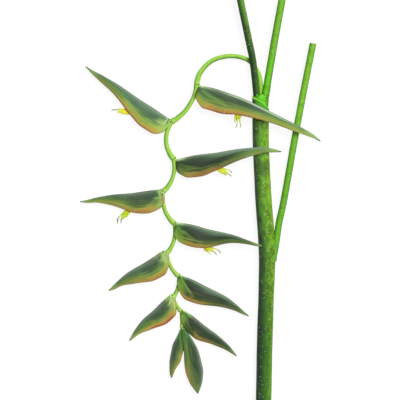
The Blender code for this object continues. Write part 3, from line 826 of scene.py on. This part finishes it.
print("flower stalk:", round(distances(flower_stalk_line()[0])[-1]), "mm along its bends")

# %% Sweep the flower stalk
RING_LEAN = 0.9  # how far a joint's ring is shifted along the stalk on its sides, against its middle
LAST_JOINT = 8  # the stretch before the last joint, whose ring is small and straight


def flower_stalk_form():
    line, radii, marks = flower_stalk_line()
    length = distances(line)

    def past_joint(where):
        """How far each distance along the stalk lies past its nearest joint."""
        return np.array([min((d - length[mark] for mark in marks), key=abs) for d in where])

    gap = past_joint(length)

    def swell(i, angles):
        """The rounded end of the upper stretch, a crease, and the thinner start of the next one."""
        last = length[i] > length[marks[-1]] - LAST_JOINT
        lean = gap[i] + (0 if last else RING_LEAN) * np.cos(angles)
        ridge = 0.55 * bell(lean, -1.8, 1.4) - 0.75 * bell(lean, 0.5, 0.7) - 0.35 * bell(lean, 2.6, 2.2)
        return ridge * (0.5 if last else 1) + dents(angles, 3, length[i] * 0.5, 5, 5) * 0.1

    points, faces, traits = sweep(line, radii, 32, swell=swell)
    where, right = traits["along"], traits["right"]
    lean = past_joint(where) + RING_LEAN * right
    traits["joint"] = bell(lean, -2, 2.6)
    traits["groove"] = bell(lean, 0.5, 0.8)
    rings = np.clip(np.searchsorted(length, where), 0, len(line) - 1)
    away = points - np.array([tuple(point) for point in line])[rings]
    under = -away[:, 1] / np.maximum(np.linalg.norm(away, axis=1), 1)
    arch = ease(170, 145, where)
    traits["shaded"] = under * arch * 0.9 - right * (1 - arch) * 0.9 - traits["top"] * 0.1
    return points, faces, traits


flower_stalk = flower_stalk_form()
make_piece("heliconia_flower_stalk", flower_stalk, flower_stalk_skin, "flower_stalk")

# %% [markdown]
# ## The bracts
# A bract is a leaf folded along its keel. Each one is a grid of points: rows from the joint to the tip,
# columns from one margin over the keel to the other. Its cheeks get shallow folds that run to the tip and
# one oblique crease near the base. The belly's margin is crimped and slightly rolled, and the wall thins
# towards it, so it catches light like a real one.

# %% The middle surface of a bract
BLADE_ROWS = 110
BLADE_COLUMNS = 65
ROW_CROWDING = 1.7  # above 1, the rows crowd towards the base, where the form changes fastest
OPEN_GAPE = 0.93
TIP_GAPE = 0.62


def blade_grid(bract, seed):
    """The middle surface of a bract as rows of points, with the traits of each."""
    ts = np.linspace(0, 1, BLADE_ROWS) ** ROW_CROWDING
    across = np.linspace(-1, 1, BLADE_COLUMNS)[None, :]
    keel = np.array([bract_keel(bract, t) for t in ts])[:, None]
    depth = np.array([bract_depth(bract, t) for t in ts])[:, None]
    width = bract.half_width * np.array([through(STATIONS, WIDTH_SHARE, t) for t in ts])[:, None]
    width = np.maximum(width, np.sqrt(0.4 * WALL * depth))  # so the keel bends no tighter than its wall can
    t = ts[:, None] * np.ones_like(across)
    gape = lerp(OPEN_GAPE, bract.gape, ease(0, bract.clasp, t))
    gape = lerp(gape, TIP_GAPE, ease(0.55, 0.95, t))
    last = math.pi - np.arcsin(gape)
    angle = across * last
    down = (1 - np.cos(angle)) / (1 - np.cos(last))
    belly = hill(0.04, 0.12, 0.4, 0.6, t)
    millimetres = t * bract_length(bract)
    wave = np.sin(millimetres * 1.35 + seed * 1.7 + np.sin(t * 31 + seed) * 1.8)
    uneven = 0.6 + 0.4 * np.sin(millimetres * 0.37 + seed * 2.3)
    crimp = wave * uneven * ease(0.74, 1, down) * belly * bract.crimp
    base, chord, keelward = bract_axes(bract)
    stand_off = keel - (WALL / 2 + down * (depth - WALL / 2) + crimp * 0.3)
    x = base[0] + chord[0] * t + keelward[0] * stand_off
    y = base[1] + chord[1] * t + keelward[1] * stand_off
    roll = ease(0.86, 1, down) * belly * 0.5
    cheek = np.sign(across)
    z = plane_height(bract, t) + width * np.sin(angle) + cheek * (crimp * 0.7 + roll)
    traits = {"along": t, "down": down, "below": down * depth, "crimp": crimp}
    return np.stack([x, y, z], axis=-1), {**traits, "cheek": cheek * np.ones_like(t)}


def blade_crease(t, down, seed):
    """The fold that runs from the base obliquely into the belly: 1 on its crest and -1 in its furrow."""
    crest = 0.26 + 0.05 * math.sin(seed * 5) + 1.5 * t
    return hill(0.015, 0.05, 0.16, 0.36, t) * (bell(down, crest, 0.09) - bell(down, crest - 0.17, 0.1))


def blade_folds(t, down, cheek, seed):
    """How far the skin stands in for the long shallow folds and dents of the cheeks, in millimetres."""
    body = hill(0.02, 0.2, 0.8, 1, t) * hill(0.05, 0.25, 0.85, 1, down)
    folds = np.sin(down * 17 + seed + cheek + t * 4) * 0.22 + np.sin(down * 31 + seed * 2 + t * 5) * 0.13
    hollows = [rough((a * 60, b * 14, c * 9), 9, seed) for a, b, c in zip(t.flat, down.flat, cheek.flat)]
    return body * (folds + np.reshape(hollows, t.shape) * 0.7) - blade_crease(t, down, seed) * 0.5


print("points of a bract's middle surface:", BLADE_ROWS * BLADE_COLUMNS)

# %% Thicken it to a blade
def blade_faces(side):
    """Faces of the outer skin, of the inner one, whose points follow, and of the rim that joins them."""
    count, last = BLADE_ROWS * BLADE_COLUMNS, (BLADE_ROWS - 1) * BLADE_COLUMNS
    faces = []
    for i in range(0, last, BLADE_COLUMNS):
        for a in range(i, i + BLADE_COLUMNS - 1):
            b, c, d = a + 1, a + 1 + BLADE_COLUMNS, a + BLADE_COLUMNS
            faces.append((a, b, c, d))
            faces.append((count + d, count + c, count + b, count + a))
    rim = [(i - 1, i - 1 + BLADE_COLUMNS) for i in range(BLADE_COLUMNS, last + 1, BLADE_COLUMNS)]
    rim += [(i + BLADE_COLUMNS, i) for i in range(0, last, BLADE_COLUMNS)]
    rim += [(j, j + 1) for j in range(BLADE_COLUMNS - 1)]
    rim += [(last + j + 1, last + j) for j in range(BLADE_COLUMNS - 1)]
    faces += [(b, a, count + a, count + b) for a, b in rim]
    return faces if side > 0 else [face[::-1] for face in faces]


def blade_form(bract, seed):
    """A bract as a closed blade, and the edge of its middle surface at the base."""
    grid, traits = blade_grid(bract, seed)
    normal = np.cross(np.gradient(grid, axis=0), np.gradient(grid, axis=1)) * bract.side
    normal /= np.maximum(np.linalg.norm(normal, axis=-1, keepdims=True), 1e-9)
    grid = grid - normal * blade_folds(traits["along"], traits["down"], traits["cheek"], seed)[..., None]
    share = np.abs(np.linspace(-1, 1, BLADE_COLUMNS))[None, :] ** 3
    wall = lerp(WALL, EDGE_WALL, share)
    wall = lerp(wall, EDGE_WALL * 0.8, ease(0.5, 1, traits["along"])) / 2
    outer = grid - normal * wall[..., None]
    inner = grid + normal * wall[..., None]
    outer[..., 2] = np.maximum(outer[..., 2], 0)
    inner[..., 2] = np.maximum(inner[..., 2], FLAT_WALL)
    count = BLADE_ROWS * BLADE_COLUMNS
    traits = {trait: np.tile(values.ravel(), 2) for trait, values in traits.items()}
    traits["inside"] = np.repeat((0, 1), count)
    traits["crease"] = blade_crease(traits["along"], traits["down"], seed)
    traits["lip"] = np.zeros(2 * count)
    points = np.concatenate([outer.reshape(-1, 3), inner.reshape(-1, 3)])
    return (points, blade_faces(bract.side), traits), grid[0]


# %% [markdown]
# A left bract's base wraps round the stalk from the front. Its edge is rolled into a pale lip, which ends
# in a small hook beside the joint, with a hollow in it: a small sunken piece painted dark as shade. Here
# the trait "lip" is 1 on the rolled edge and 2 in the hollow.

# %% Roll the lips of the left bracts' bases
Hook = namedtuple("Hook", "right up radius thickness")  # from the joint
HOOKS = {
    "bract_2": Hook(-3, -0.6, 1.9, 0.9),
    "bract_4": Hook(-2.0, -0.2, 2.0, 1.0),
    "bract_6": Hook(-1.8, 1.8, 2.0, 1.1),
    "bract_8": Hook(-2.4, 2.6, 2.4, 1.4),
}
HOOK_LEVEL = 0.64  # above the middle plane, as a share of the bract's half width
HOLLOW = ((0.9, 0.6, -0.5), (0.5, 0, -0.5), (0.3, -1.0, -0.6))  # from the hook's centre


def lip_part(line, radii, lip, flat=1):
    """A piece of lip with the traits of a blade."""
    points, faces = sweep(line, radii, 14, flat=flat, close=(0.7, 0.35))[:2]
    traits = dict.fromkeys(("along", "crimp", "inside", "crease"), 0)
    traits.update({"down": 0.5, "below": 9, "cheek": 1, "lip": lip})
    return points, faces, {trait: np.full(len(points), value) for trait, value in traits.items()}


def base_lip(bract, edge):
    """The rolled edge with its hook, and the hollow in the hook, which lies deeper."""
    joint, hook = JOINTS[BRACTS.index(bract)], HOOKS[bract.name]
    height = float(plane_height(bract, 0)) + bract.half_width * HOOK_LEVEL
    centre = Vector((joint[0] + hook.right, joint[1] + hook.up, height))
    bend = []
    for degrees in (95, 130, 165, 200, 235):
        turn = math.radians(degrees)
        bend.append(centre + Vector((hook.radius * math.cos(turn), hook.radius * math.sin(turn), 0)))
    fold = [Vector(edge[BLADE_COLUMNS // 2 + i]) for i in (14, 18, 22, 26, 30)]
    line = smooth_line([*bend, *fold], 6)
    radii = stretched((0.45, 0.95, 1, 1, 0.9, 0.8, 0.45), len(line)) * hook.thickness
    hollow = smooth_line([centre + Vector(place) for place in HOLLOW], 3)
    return lip_part(line, radii, 1), lip_part(hollow, stretched((0.9, 1.2, 0.8), len(hollow)), 2, 0.5)


print("bracts with a hook:", *HOOKS)

# %% [markdown]
# ## The bracts' skin
# The keel half is a dark grey-green with a painted bluish sheen and a painted highlight along the keel.
# Below the middle, yellow-green stripes follow the veins, and the belly turns through olive and orange to a
# thin red rim. The base is pale, and the tip is plain green. The table says, from 0 to 1, how much of this
# each bract has: how fresh its green is; how warm its margin, and where along it that starts and stops; how
# bright its outer half; how pale its base; how yellow its outer half; how red its edge; and how strong are
# its pale haze, a painted sheen near the keel, its dark middle, the tan edge of its base and its crease,
# which is painted highlight and shade.

# %% The bracts' blushes and ramps
Blush = namedtuple("Blush", "fresh warm start stop outer base glow red haze dusk tan crease")
BLUSHES = {
    "bract_1": Blush(0.5, 0.9, 0, 0.5, 0.9, 0.2, 0.9, 0.5, 0, 0, 0, 0.3),
    "bract_2": Blush(0.95, 0.8, 0, 0.55, 0.3, 0.4, 0.5, 0.35, 0, 0, 0, 0.15),
    "bract_3": Blush(0.04, 0.25, 0, 0.45, 0.6, 0.1, 0.1, 0.5, 0.65, 0.4, 0, 0.15),
    "bract_4": Blush(0.4, 0.8, 0.03, 0.5, 0.4, 0.3, 1, 0.5, 0, 0, 0.6, 0.15),
    "bract_5": Blush(0.05, 0.6, 0.04, 0.5, 0.25, 0.8, 0, 0.1, 0.4, 0.1, 0, 0.25),
    "bract_6": Blush(0.6, 0.85, 0.06, 0.6, 0.3, 0.8, 0.7, 0.4, 0, 0, 0.35, 0.15),
    "bract_7": Blush(0, 0.6, 0.05, 0.5, 0.15, 0.8, 0, 0.1, 0.4, 0.25, 0, 0.45),
    "bract_8": Blush(0.5, 1, 0.08, 0.75, 0.4, 1, 0.9, 0.9, 0, 0, 0.35, 0.15),
    "bract_9": Blush(0, 0.4, 0.25, 0.65, 0.1, 0.9, 0.1, 0.3, 0.15, 0.4, 0, 0.2),
    "bract_tip_right": Blush(0.25, 0.1, 0.5, 0.9, 0.2, 0.8, 0.2, 0, 0, 0, 0, 0.15),
    "bract_tip_left": Blush(0.4, 0.25, 0.5, 0.9, 0.2, 0.8, 0.7, 0, 0, 0, 0, 0.15),
}
DOWNWARD = (0.08, 0.2, 0.4, 0.6, 0.78, 0.95)  # from the keel to the margin
AGED = stops(DOWNWARD, "52644C 3A4A38 30422E 4A5E38 667840 667640")
FRESH = stops(DOWNWARD, "80947A 648664 668E5E 8EB85C C0D25A C4C45A")
OUTER_AGED = stops(DOWNWARD, "6C8460 54704A 486440 4C5C3C 586244 66684A")
OUTER_FRESH = stops(DOWNWARD, "9AB684 8AAE70 80AA5C 92B85A A0BC58 A8B860")
OUTER_GLOW = stops(DOWNWARD, "6C8860 6A8850 70903E 98AC4A B6B658 BCB464")
RIGHT_BASE = stops(DOWNWARD, "8CB870 649448 5A8A36 7CAC3C 88B43E 9CC054")
YOUNG_BASE = stops(DOWNWARD, "76B064 5E9A50 4C8040 46703C 4A7840 4A7A44")
print("freshest bract:", max(BLUSHES, key=lambda name: BLUSHES[name].fresh))

# %% [markdown]
# The layers share a few maps: the traits, veins along the blade, finer ones, a slow drift of tone, and
# blots. level is the way down and reach the way along, with drift in them, so that no border between two
# colours is straight. The first layers are the leaf's greens, with their shadows and painted sheen.

# %% The greens of a bract
Maps = namedtuple("Maps", "start along down veins fine drift blots level reach")


def bract_maps(start, seed):
    along, down, cheek = start.traits("along", "down", "cheek")
    veins = start.cloud(start.place(down * 15, along * 2.2, cheek * 3 + seed), 1.0, 4.0) - 0.5
    fine = start.cloud(start.place(down * 60, along * 4, cheek * 3 + seed), 1.0, 1.0) - 0.5
    drift = start.cloud(start.place(down * 4, along * 7, cheek * 5 + seed * 2), 1.0, 2.0) - 0.5
    blots = start.cloud(start.place(down * 3.5, along * 4, cheek * 5 + seed * 3), 1.0, 2.0) - 0.5
    level = down + drift * 0.4 + veins * 0.4 + fine * 0.2
    return Maps(start, along, down, veins, fine, drift, blots, level, along + drift * 0.3)


def leaf_greens(maps, blush):
    """The belly's greens, which turn into those of the outer half: earlier on a bright bract."""
    belly = maps.level.ramp(blend(AGED, FRESH, blush.fresh))
    outer = blend(blend(OUTER_AGED, OUTER_FRESH, blush.outer), OUTER_GLOW, blush.glow * 0.75)
    bright = max(blush.outer, blush.glow)
    turn = (maps.reach + (maps.down - 0.5) * 0.5).ease(lerp(0.6, 0.25, bright), lerp(0.95, 0.7, bright))
    return belly.paint(turn, maps.level.ramp(outer))


def shadows_and_sheen(colour, maps, blush, young):
    """Dark and plum patches, painted sheen and haze near the keel, pale and dark stripes, and a dark middle.
    """
    along, down, veins = maps.along, maps.down, maps.veins
    shade = (maps.blots + veins * 0.5).ease(-0.05, 0.15) * down.ease(0.85, 0.45)
    shade = shade * along.hill(0.05, 0.15, 0.5, 0.8)
    colour = colour.paint(shade * lerp(0.5, 0.25, blush.fresh), "26342A")
    ends = (0.6, 0.85) if young else (0.35, 0.5)
    plum = maps.blots.ease(0.12, -0.04) * down.hill(0.05, 0.2, 0.5, 0.75) * along.hill(0.1, 0.2, *ends)
    colour = colour.paint(plum * lerp(0.4, 0.15, blush.fresh), "4E4444")
    # A pale bluish painted sheen near the keel.
    painted_sheen = (veins + maps.fine * 0.5 + maps.drift * 0.5).ease(-0.05, 0.12) * down.ease(0.35, 0.1)
    colour = colour.paint(painted_sheen * 0.22, "90AC9A")
    stripes = veins.ease(0.0, 0.12) * maps.level.ease(0.35, 0.6) * along.hill(0.02, 0.1, 0.4, 0.75)
    colour = colour.paint(stripes * lerp(0.15, 0.35, blush.fresh), "A4BE5C")
    colour = colour.paint(veins.ease(-0.02, -0.14) * down.ease(0.05, 0.2) * 0.25, "2C4226")
    # The haze is more pale grey-green painted sheen over the keel half.
    haze = (down + veins * 0.3).ease(0.42, 0.1) * along.hill(0.15, 0.5, 0.8, 1.0)
    colour = colour.paint(haze * blush.haze, "8CAA8A")
    dusk = maps.level.ease(0.4, 0.55) * along.hill(0.12, 0.22, 0.5, 0.75)
    return colour.paint(dusk * blush.dusk, "2E3030")


print("maps of a bract's skin:", *Maps._fields[1:])

# %% [markdown]
# Then come the keel and the warm margin. A painted highlight runs along the keel, and the first bract has a
# second painted highlight line just under its dark keel. The crests of the crimps get a painted highlight,
# and their hollows a brown painted shade.

# %% Keel and margin
def keel_lines(colour, maps, bract):
    along = maps.along
    # A painted highlight along the keel.
    pale = (maps.down + maps.veins * 0.06).ease(0.14, 0.03) * along.ease(0.0, 0.06)
    colour = colour.paint(pale * (0.35 if bract.side > 0 else 0.15), "B4CCA8")
    below = maps.start.traits("below")[0] + maps.veins
    # The first bract's painted highlight line just under the keel.
    if bract.name == "bract_1":
        line = below.hill(0.5, 1.4, 2.4, 3.8) * along.hill(0.12, 0.3, 0.55, 0.85)
        colour = colour.paint(line * 0.7, "CCE4BC")
    return colour.paint(below.ease(1.4, 0.4) * along.ease(0.03, 0.1) * 0.3, "4C4642")


def warm_margin(colour, maps, blush):
    reach, red_level = maps.reach, maps.level.ease(0.74, 1.0)
    span = reach.hill(blush.start, blush.start + 0.12, blush.stop - 0.15, blush.stop + 0.1)
    warm = maps.level.ease(lerp(0.7, 0.56, blush.red), lerp(0.95, 0.86, blush.red)) * span
    colour = colour.paint(warm * lerp(0.3, 0.95, blush.warm), "CCB056")
    red = red_level * span * reach.ease(blush.start + 0.05, blush.start + 0.2)
    colour = colour.paint(red * (blush.red * 0.95), "BC6440")
    edge = (maps.down + maps.veins * 0.1 + maps.fine * 0.12).ease(0.93, 0.99) * span
    colour = colour.paint(edge * lerp(0.3, 0.85, blush.warm), "BC5A3C")
    crimp = maps.start.traits("crimp")[0]
    # A painted highlight on the crimps' crests, and brown painted shade in their hollows.
    colour = colour.paint(crimp.ease(0.1, 0.6) * span * 0.8, "E8B898")
    return colour.paint(crimp.ease(-0.1, -0.6) * span * 0.5, "94503A")


# %% [markdown]
# The base differs most between the bracts. The two young ones at the tip are fresh green there, with fine
# ribs. A right bract is green, with a pale keel near the joint that is a painted highlight, and a painted
# shadow beside the stalk. A left one has a pale ridge with a furrow beside it, darkened with painted shade,
# and, on some, a tan stretch, all at fixed distances from its edge.

# %% The bases
def young_base(colour, maps, blush):
    along, down = maps.along, maps.down
    colour = colour.paint(maps.reach.ease(0.32, 0.06) * blush.base, maps.level.ramp(YOUNG_BASE))
    colour = colour.paint(down.ease(0.5, 0.8) * along.ease(0.55, 0.35) * 0.5, "3E6238")
    ribs = (maps.veins + maps.fine).ease(0.04, 0.14) * down.ease(0.55, 0.8) * along.ease(0.55, 0.3)
    return colour.paint(ribs * 0.5, "6CB062")


def right_base(colour, maps, blush, wide):
    """wide is how far the pale keel, a painted highlight, reaches, as a share of the bract."""
    along, down = maps.along, maps.down
    colour = colour.paint(maps.reach.ease(0.17, 0.04) * blush.base, maps.level.ramp(RIGHT_BASE))
    # The pale keel near the joint is a painted highlight.
    pale = along.ease(wide * 0.65, 0.03) * (down + maps.veins * 0.15).ease(wide, 0.05)
    colour = colour.paint(pale * 0.95, "CCE8A4")
    # A painted shadow in a thin line beside the stalk.
    return colour.paint(along.ease(0.022, 0.004) * down.ease(0.2, 0.3) * 0.7, "35501E")


def left_base(colour, maps, blush, length):
    down, veins = maps.down, maps.veins
    palest = between(srgb("BEDC80"), srgb("E4F6A4"), blush.base)
    pale = maps.reach.ease(lerp(0.1, 0.18, blush.base), lerp(-0.02, 0.07, blush.base)) * down.ease(1.0, 0.8)
    colour = colour.paint(pale * lerp(0.6, 0.95, blush.base), (veins * 3 + 0.5).pick("86B44E", palest))
    from_edge = maps.along * length + veins * 2
    ridge = from_edge.hill(3.5, 5.5, 6, 9) * down.ease(0.6, 0.3)
    colour = colour.paint(ridge * 0.7, "B4DC84")
    # The furrow's darkness is painted shade.
    furrow = from_edge.hill(1.2, 2.6, 3.2, 5) * down.ease(0.5, 0.2)
    colour = colour.paint(furrow * 0.8, "3C6630")
    return colour.paint(from_edge.hill(0.5, 2, 3, 7) * down.ease(0.3, 0.6) * blush.tan, "A07C50")


# %% [markdown]
# Last come the crease, with a painted highlight on its crest and painted shade in its furrow, the green tip
# with its dry point, the inner side of the blade and the lips, whose hollows are painted dark as shade. The
# bump follows the veins.

# %% Mix the skins and lay the bracts
def crease_and_ends(colour, maps, blush, young):
    along, veins, fine = maps.along, maps.veins, maps.fine
    crease, inside, lip = maps.start.traits("crease", "inside", "lip")
    # The crease's crest gets a painted highlight, and its furrow painted shade.
    colour = colour.paint(crease.ease(0.1, 0.9) * blush.crease, "9CC45A")
    colour = colour.paint(crease.ease(-0.2, -0.9) * blush.crease, "2E4426")
    tip = along.ease(0.82, 0.93) * (0.2 if young else lerp(0.3, 0.9, blush.outer))
    colour = colour.paint(tip, maps.level.pick("A6CA7C", "8CAA62"))
    colour = colour.paint(along.ease(0.965, 0.99) * 0.7, "3E4A2C")
    colour = colour.paint(inside.ease(0.4, 0.6), (veins * 2 + 0.5).pick("A8B860", "C69A56"))
    colour = colour.paint(lip.ease(0.3, 0.6), (fine * 2 + 0.5).pick("BCE478", "E0F4A4"))
    # The hollow in the hook is painted dark as shade.
    return colour.paint(lip.ease(1.3, 1.6), "3E6018")


def make_bract_skin(bract, blush, seed):
    skin, start = start_skin(bract.name + "_skin")
    maps = bract_maps(start, seed)
    young = bract.name.startswith("bract_tip")
    colour = shadows_and_sheen(leaf_greens(maps, blush), maps, blush, young)
    colour = warm_margin(keel_lines(colour, maps, bract), maps, blush)
    if young:
        colour = young_base(colour, maps, blush)
    elif bract.side > 0:
        colour = right_base(colour, maps, blush, 0.24 if bract.name == "bract_9" else 0.17)
    else:
        colour = left_base(colour, maps, blush, bract_length(bract))
    colour = crease_and_ends(colour, maps, blush, young)
    roughness = 0.5 + maps.veins * 0.2 + maps.level.ease(0.6, 0.2) * 0.1
    return finish_skin(skin, colour, roughness, maps.veins * 0.7 + maps.fine * 0.5 + 0.5, 0.3)


for seed, bract in enumerate(BRACTS, 1):
    form, edge = blade_form(bract, seed)
    if bract.name in HOOKS:
        form = joined(form, *base_lip(bract, edge))
    skin = make_bract_skin(bract, BLUSHES[bract.name], seed)
    make_piece("heliconia_" + bract.name, form, skin, bract.name, sharp=70)

# %% [markdown]
# ## The flowers
# A heliconia's own flower is small: a yellow tube, flattened between the margins of its bract, which splits
# into broad strips, the tepals, with thin stamens between them. They droop at their ends, and dry to a grey
# green at the tips, which the trait "ripe" says.

# %% The flowers' skin
def make_flower_skin():
    skin, start = start_skin("flower_skin")
    right, top, along, ripe, fresh = start.traits("right", "top", "along", "ripe", "fresh")
    lines = start.cloud(start.place(right * 6, along * 0.15, top * 6), 1.0, 2.0)
    yellow = (lines * 3 - 1).pick("FAF64C", "EEE834")
    colour = yellow.paint(fresh, (lines * 3 - 1).pick("DCEA34", "B4D424"))
    ripe = ripe + (lines - 0.5) * 0.3
    colour = colour.paint(ripe.ease(0.45, 0.7), "D2E070")
    colour = colour.paint(ripe.ease(0.76, 0.92), "9CAE72")
    colour = colour.paint(ripe.ease(0.95, 1.1), "748664")
    return finish_skin(skin, colour, 0.4 + lines * 0.15, lines, 0.1)


flower_skin = make_flower_skin()

# %% [markdown]
# exit_at says how many millimetres from the joint a flower comes out of its bract's margins, and heading the
# way that it points there, in degrees from the right. A strand's reach starts at the margins too. Its start
# and end lie so far aside from the tube's middle, and it may bend sideways. All are sweeps.

# %% The flowers' numbers
Flower = namedtuple("Flower", "name bract exit_at heading fresh strands")
Strand = namedtuple("Strand", "start end reach radius bend")
FLOWERS = [
    Flower("flower_1", "bract_1", 70, -90, 0.9, (
        (3, 4.3, 11.5, 1, 0), (0.6, 3.2, 19.8, 0.8, -1.6), (-2, -4.2, 19, 0.8, -0.6), (-3, -3.6, 11, 1.6, 0),
        (0.6, 0.4, 12, 1.9, 0))),
    Flower("flower_2", "bract_2", 63, 177, 0, (
        (2.6, 0.3, 24, 0.8, 1), (-2.3, -2, 14.5, 2, 0), (0.6, 1.5, 15, 1.9, 0), (-0.9, -0.4, 13.5, 1.9, 0),
        (3, 2.8, 15.3, 0.8, 0.3))),
    Flower("flower_3", "bract_3", 64, -29, 0.6, (
        (-2.2, -3.2, 20, 0.8, -2.5), (0.2, 1.3, 21.3, 0.8, -0.6), (2, 3.8, 14.5, 0.8, 0), (3, 4.2, 8, 0.9, 0),
        (-1.2, -1.6, 14.5, 1.9, 0), (1.4, 1.8, 13.5, 1.8, 0))),
    Flower("flower_4", "bract_4", 57, -128, 0.9, (
        (2.5, 0.7, 24.2, 0.8, 3.7), (-0.5, -3.1, 21, 0.9, 2.2), (3, 4.4, 22, 0.7, 1),
        (1.2, 0.2, 17.5, 1.9, 0.4), (-1.8, -1.6, 15.5, 2, 0), (-3.2, -4, 9, 0.8, 0))),
    Flower("flower_5", "bract_5", 54, -38, 0.5, (
        (2.4, 4.5, 10.8, 0.9, -0.5), (0.6, -0.4, 18.5, 0.9, -2), (-3, -6.3, 22.3, 0.8, -2.2),
        (0, -1.4, 12, 1.8, 0), (3.4, 4.2, 5.5, 1.2, 0), (-1.8, -3.4, 10, 1.6, 0))),
]
TUBE_RADII = (1.5, 1.9, 2.7, 3.4, 3.7, 3.3)
TUBE_FLATNESS = 0.66
TUBE_FOOT = 7  # below the keel at the joint
TUBE_STANDS_OUT = 3  # past the margins
TUBE_RIPE = 0.15
TUBE_ROUTE = ((0.3, 0.5), (0.62, 0.62), (0.86, 0.74))  # shares of the way out and of the bract's depth
STRAND_ROOT = 2.5  # how far inside the margins a strand starts
BROAD = 1.1  # a strand with more than this radius is a tepal
TEPAL_SHAPE = (1.45, 1.4, 1.2, 0.9, 0.55, 0.2)  # ends in a point
STAMEN_SHAPE = (1.4, 1.3, 1.15, 1, 1.1, 0.6)  # ends in a small knob


def flower_line(flower):
    """The middle line of a flower's tube, from the joint on, and the way that it points at its end."""
    bract = next(b for b in BRACTS if b.name == flower.bract)
    leave = flower.exit_at / bract_length(bract)
    route = [in_plane(bract, 0, TUBE_FOOT)]
    for share, depth_share in TUBE_ROUTE:
        route.append(in_plane(bract, leave * share, bract_depth(bract, leave * share) * depth_share))
    turn = math.radians(flower.heading)
    way = Vector((math.cos(turn), math.sin(turn), 0))
    margin = in_plane(bract, leave, bract_depth(bract, leave))
    return [*route, margin, margin + way * TUBE_STANDS_OUT], way


print("strands of all flowers:", sum(len(flower.strands) for flower in FLOWERS))

# %% Grow the flowers
def strand_point(strand, margin, way, above, share):
    """A point of a strand's middle line, at that share of its way from the bract's margins to its tip."""
    droop = 6.75 * share * share * (1 - share)  # 1 at two thirds of the way, 0 at both ends
    aside = lerp(strand.start, strand.end, share) + strand.bend * droop
    right = way.cross(Vector((0, 0, 1)))
    rise = above * (0.7 + 0.9 * share * (1 - share))
    return margin + way * strand.reach * share + right * aside + Vector((0, 0, rise))


def strand_form(strand, margin, way, above, rng):
    """A strand over or under the tube's middle, where above is 1 or -1. Its points lie a little unevenly."""
    points = [strand_point(strand, margin, way, above, share) for share in (0, 0.2, 0.4, 0.6, 0.8, 1)]
    points[0] -= way * STRAND_ROOT
    right = way.cross(Vector((0, 0, 1)))
    for point in points[1:]:
        point += right * rng.uniform(-0.25, 0.25)
    tepal = strand.radius > BROAD
    shape = TEPAL_SHAPE if tepal else STAMEN_SHAPE
    line = smooth_line(points, 6)
    radii = stretched([share * strand.radius for share in shape], len(line))
    form = sweep(line, radii, 12, flat=0.55 if tepal else 1, close=(0.7, 0.35))
    far = form[2]["along"]
    if tepal:  # green along most of it, and dry in the last seventh
        form[2]["ripe"] = far / 40 + 0.1 + np.clip((far / far.max() - 0.85) / 0.15, 0, 1) * 0.5
    else:
        form[2]["ripe"] = far / 25 + 0.1
    return form


def flower_form(flower, seed):
    """The tube, which has six grooves near its end, and its strands."""
    rng = random.Random(seed)
    route, way = flower_line(flower)
    line = smooth_line(route, 10)

    def grooves(i, angles):
        return np.cos(angles * 6) * 0.22 * i / len(line)

    radii = stretched(TUBE_RADII, len(line))
    body = sweep(line, radii, 40, flat=TUBE_FLATNESS, swell=grooves, close=(0.85, 0.6, 0.3))
    body[2]["ripe"] = np.full(len(body[0]), TUBE_RIPE)
    parts = [body]
    for i, strand in enumerate(flower.strands):
        parts.append(strand_form(Strand(*strand), route[-2], way, 1 if i % 2 else -1, rng))
    points, faces, traits = joined(*parts)
    return points, faces, {**traits, "fresh": np.full(len(points), flower.fresh)}


for seed, flower in enumerate(FLOWERS, 1):
    form = flower_form(flower, seed)
    make_piece("heliconia_" + flower.name, form, flower_skin, flower.name)

# %% [markdown]
# ## Table, light and camera
# The plain white table is lit mostly by a glow of its own, so that it stays white as paper and only faint
# shadows show on it. One broad lamp to the upper right models the forms, and a pale sky fills the shadows.
# The stems' dark left sides are mostly painted shade in their skins. The Standard view keeps the colours
# as mixed.

# %% The table
HALF = 12.0
table = bpy.data.meshes.new("table")
corners = [(-HALF, -HALF, 0), (HALF, -HALF, 0), (HALF, HALF, 0), (-HALF, HALF, 0)]
table.from_pydata(corners, [], [(0, 1, 2, 3)])
table_top = new_object("table_top", table)
white = bpy.data.materials.new("white_table")
white.use_nodes = True
for socket, value in (
    ("Base Color", (0.14, 0.14, 0.14, 1)), ("Roughness", 0.9), ("Specular IOR Level", 0.1),
    ("Emission Color", (1, 1, 1, 1)), ("Emission Strength", 0.89),
):
    white.node_tree.nodes["Principled BSDF"].inputs[socket].default_value = value
table.materials.append(white)
print("table:", 2 * HALF, "metres wide")

# %% The lamp and the sky
lamp = bpy.data.lights.new("key_lamp", "AREA")
lamp.size = 1.3
lamp.energy = 63
holder = new_object("key_lamp", lamp)
holder.location = (0.8, 0.6, 2.4)
holder.rotation_euler = (-holder.location).to_track_quat("-Z", "Y").to_euler()
sky = bpy.data.worlds.new("pale_sky")
sky.use_nodes = True
sky.node_tree.nodes["Background"].inputs["Color"].default_value = (1, 1, 1, 1)
sky.node_tree.nodes["Background"].inputs["Strength"].default_value = 0.15
bpy.context.scene.world = sky
bpy.context.scene.view_settings.view_transform = "Standard"
print("lamp:", lamp.energy, "watts from", tuple(round(part, 2) for part in holder.location))

# %% [markdown]
# The camera looks straight down through a long lens, so there is hardly any perspective. Its height follows
# from the width that the picture shows at the plant's height.

# %% The camera
PICTURE = 0.6  # metres across the picture
PLANT_HEIGHT = 0.0125
lens = bpy.data.cameras.new("camera")
lens.lens = 200
lens.sensor_width = 36
lens.clip_end = 50
camera = new_object("camera", lens)
camera.location = (0, 0, PLANT_HEIGHT + PICTURE * lens.lens / lens.sensor_width)
bpy.context.scene.camera = camera
print("camera height in metres:", round(camera.location.z, 3))
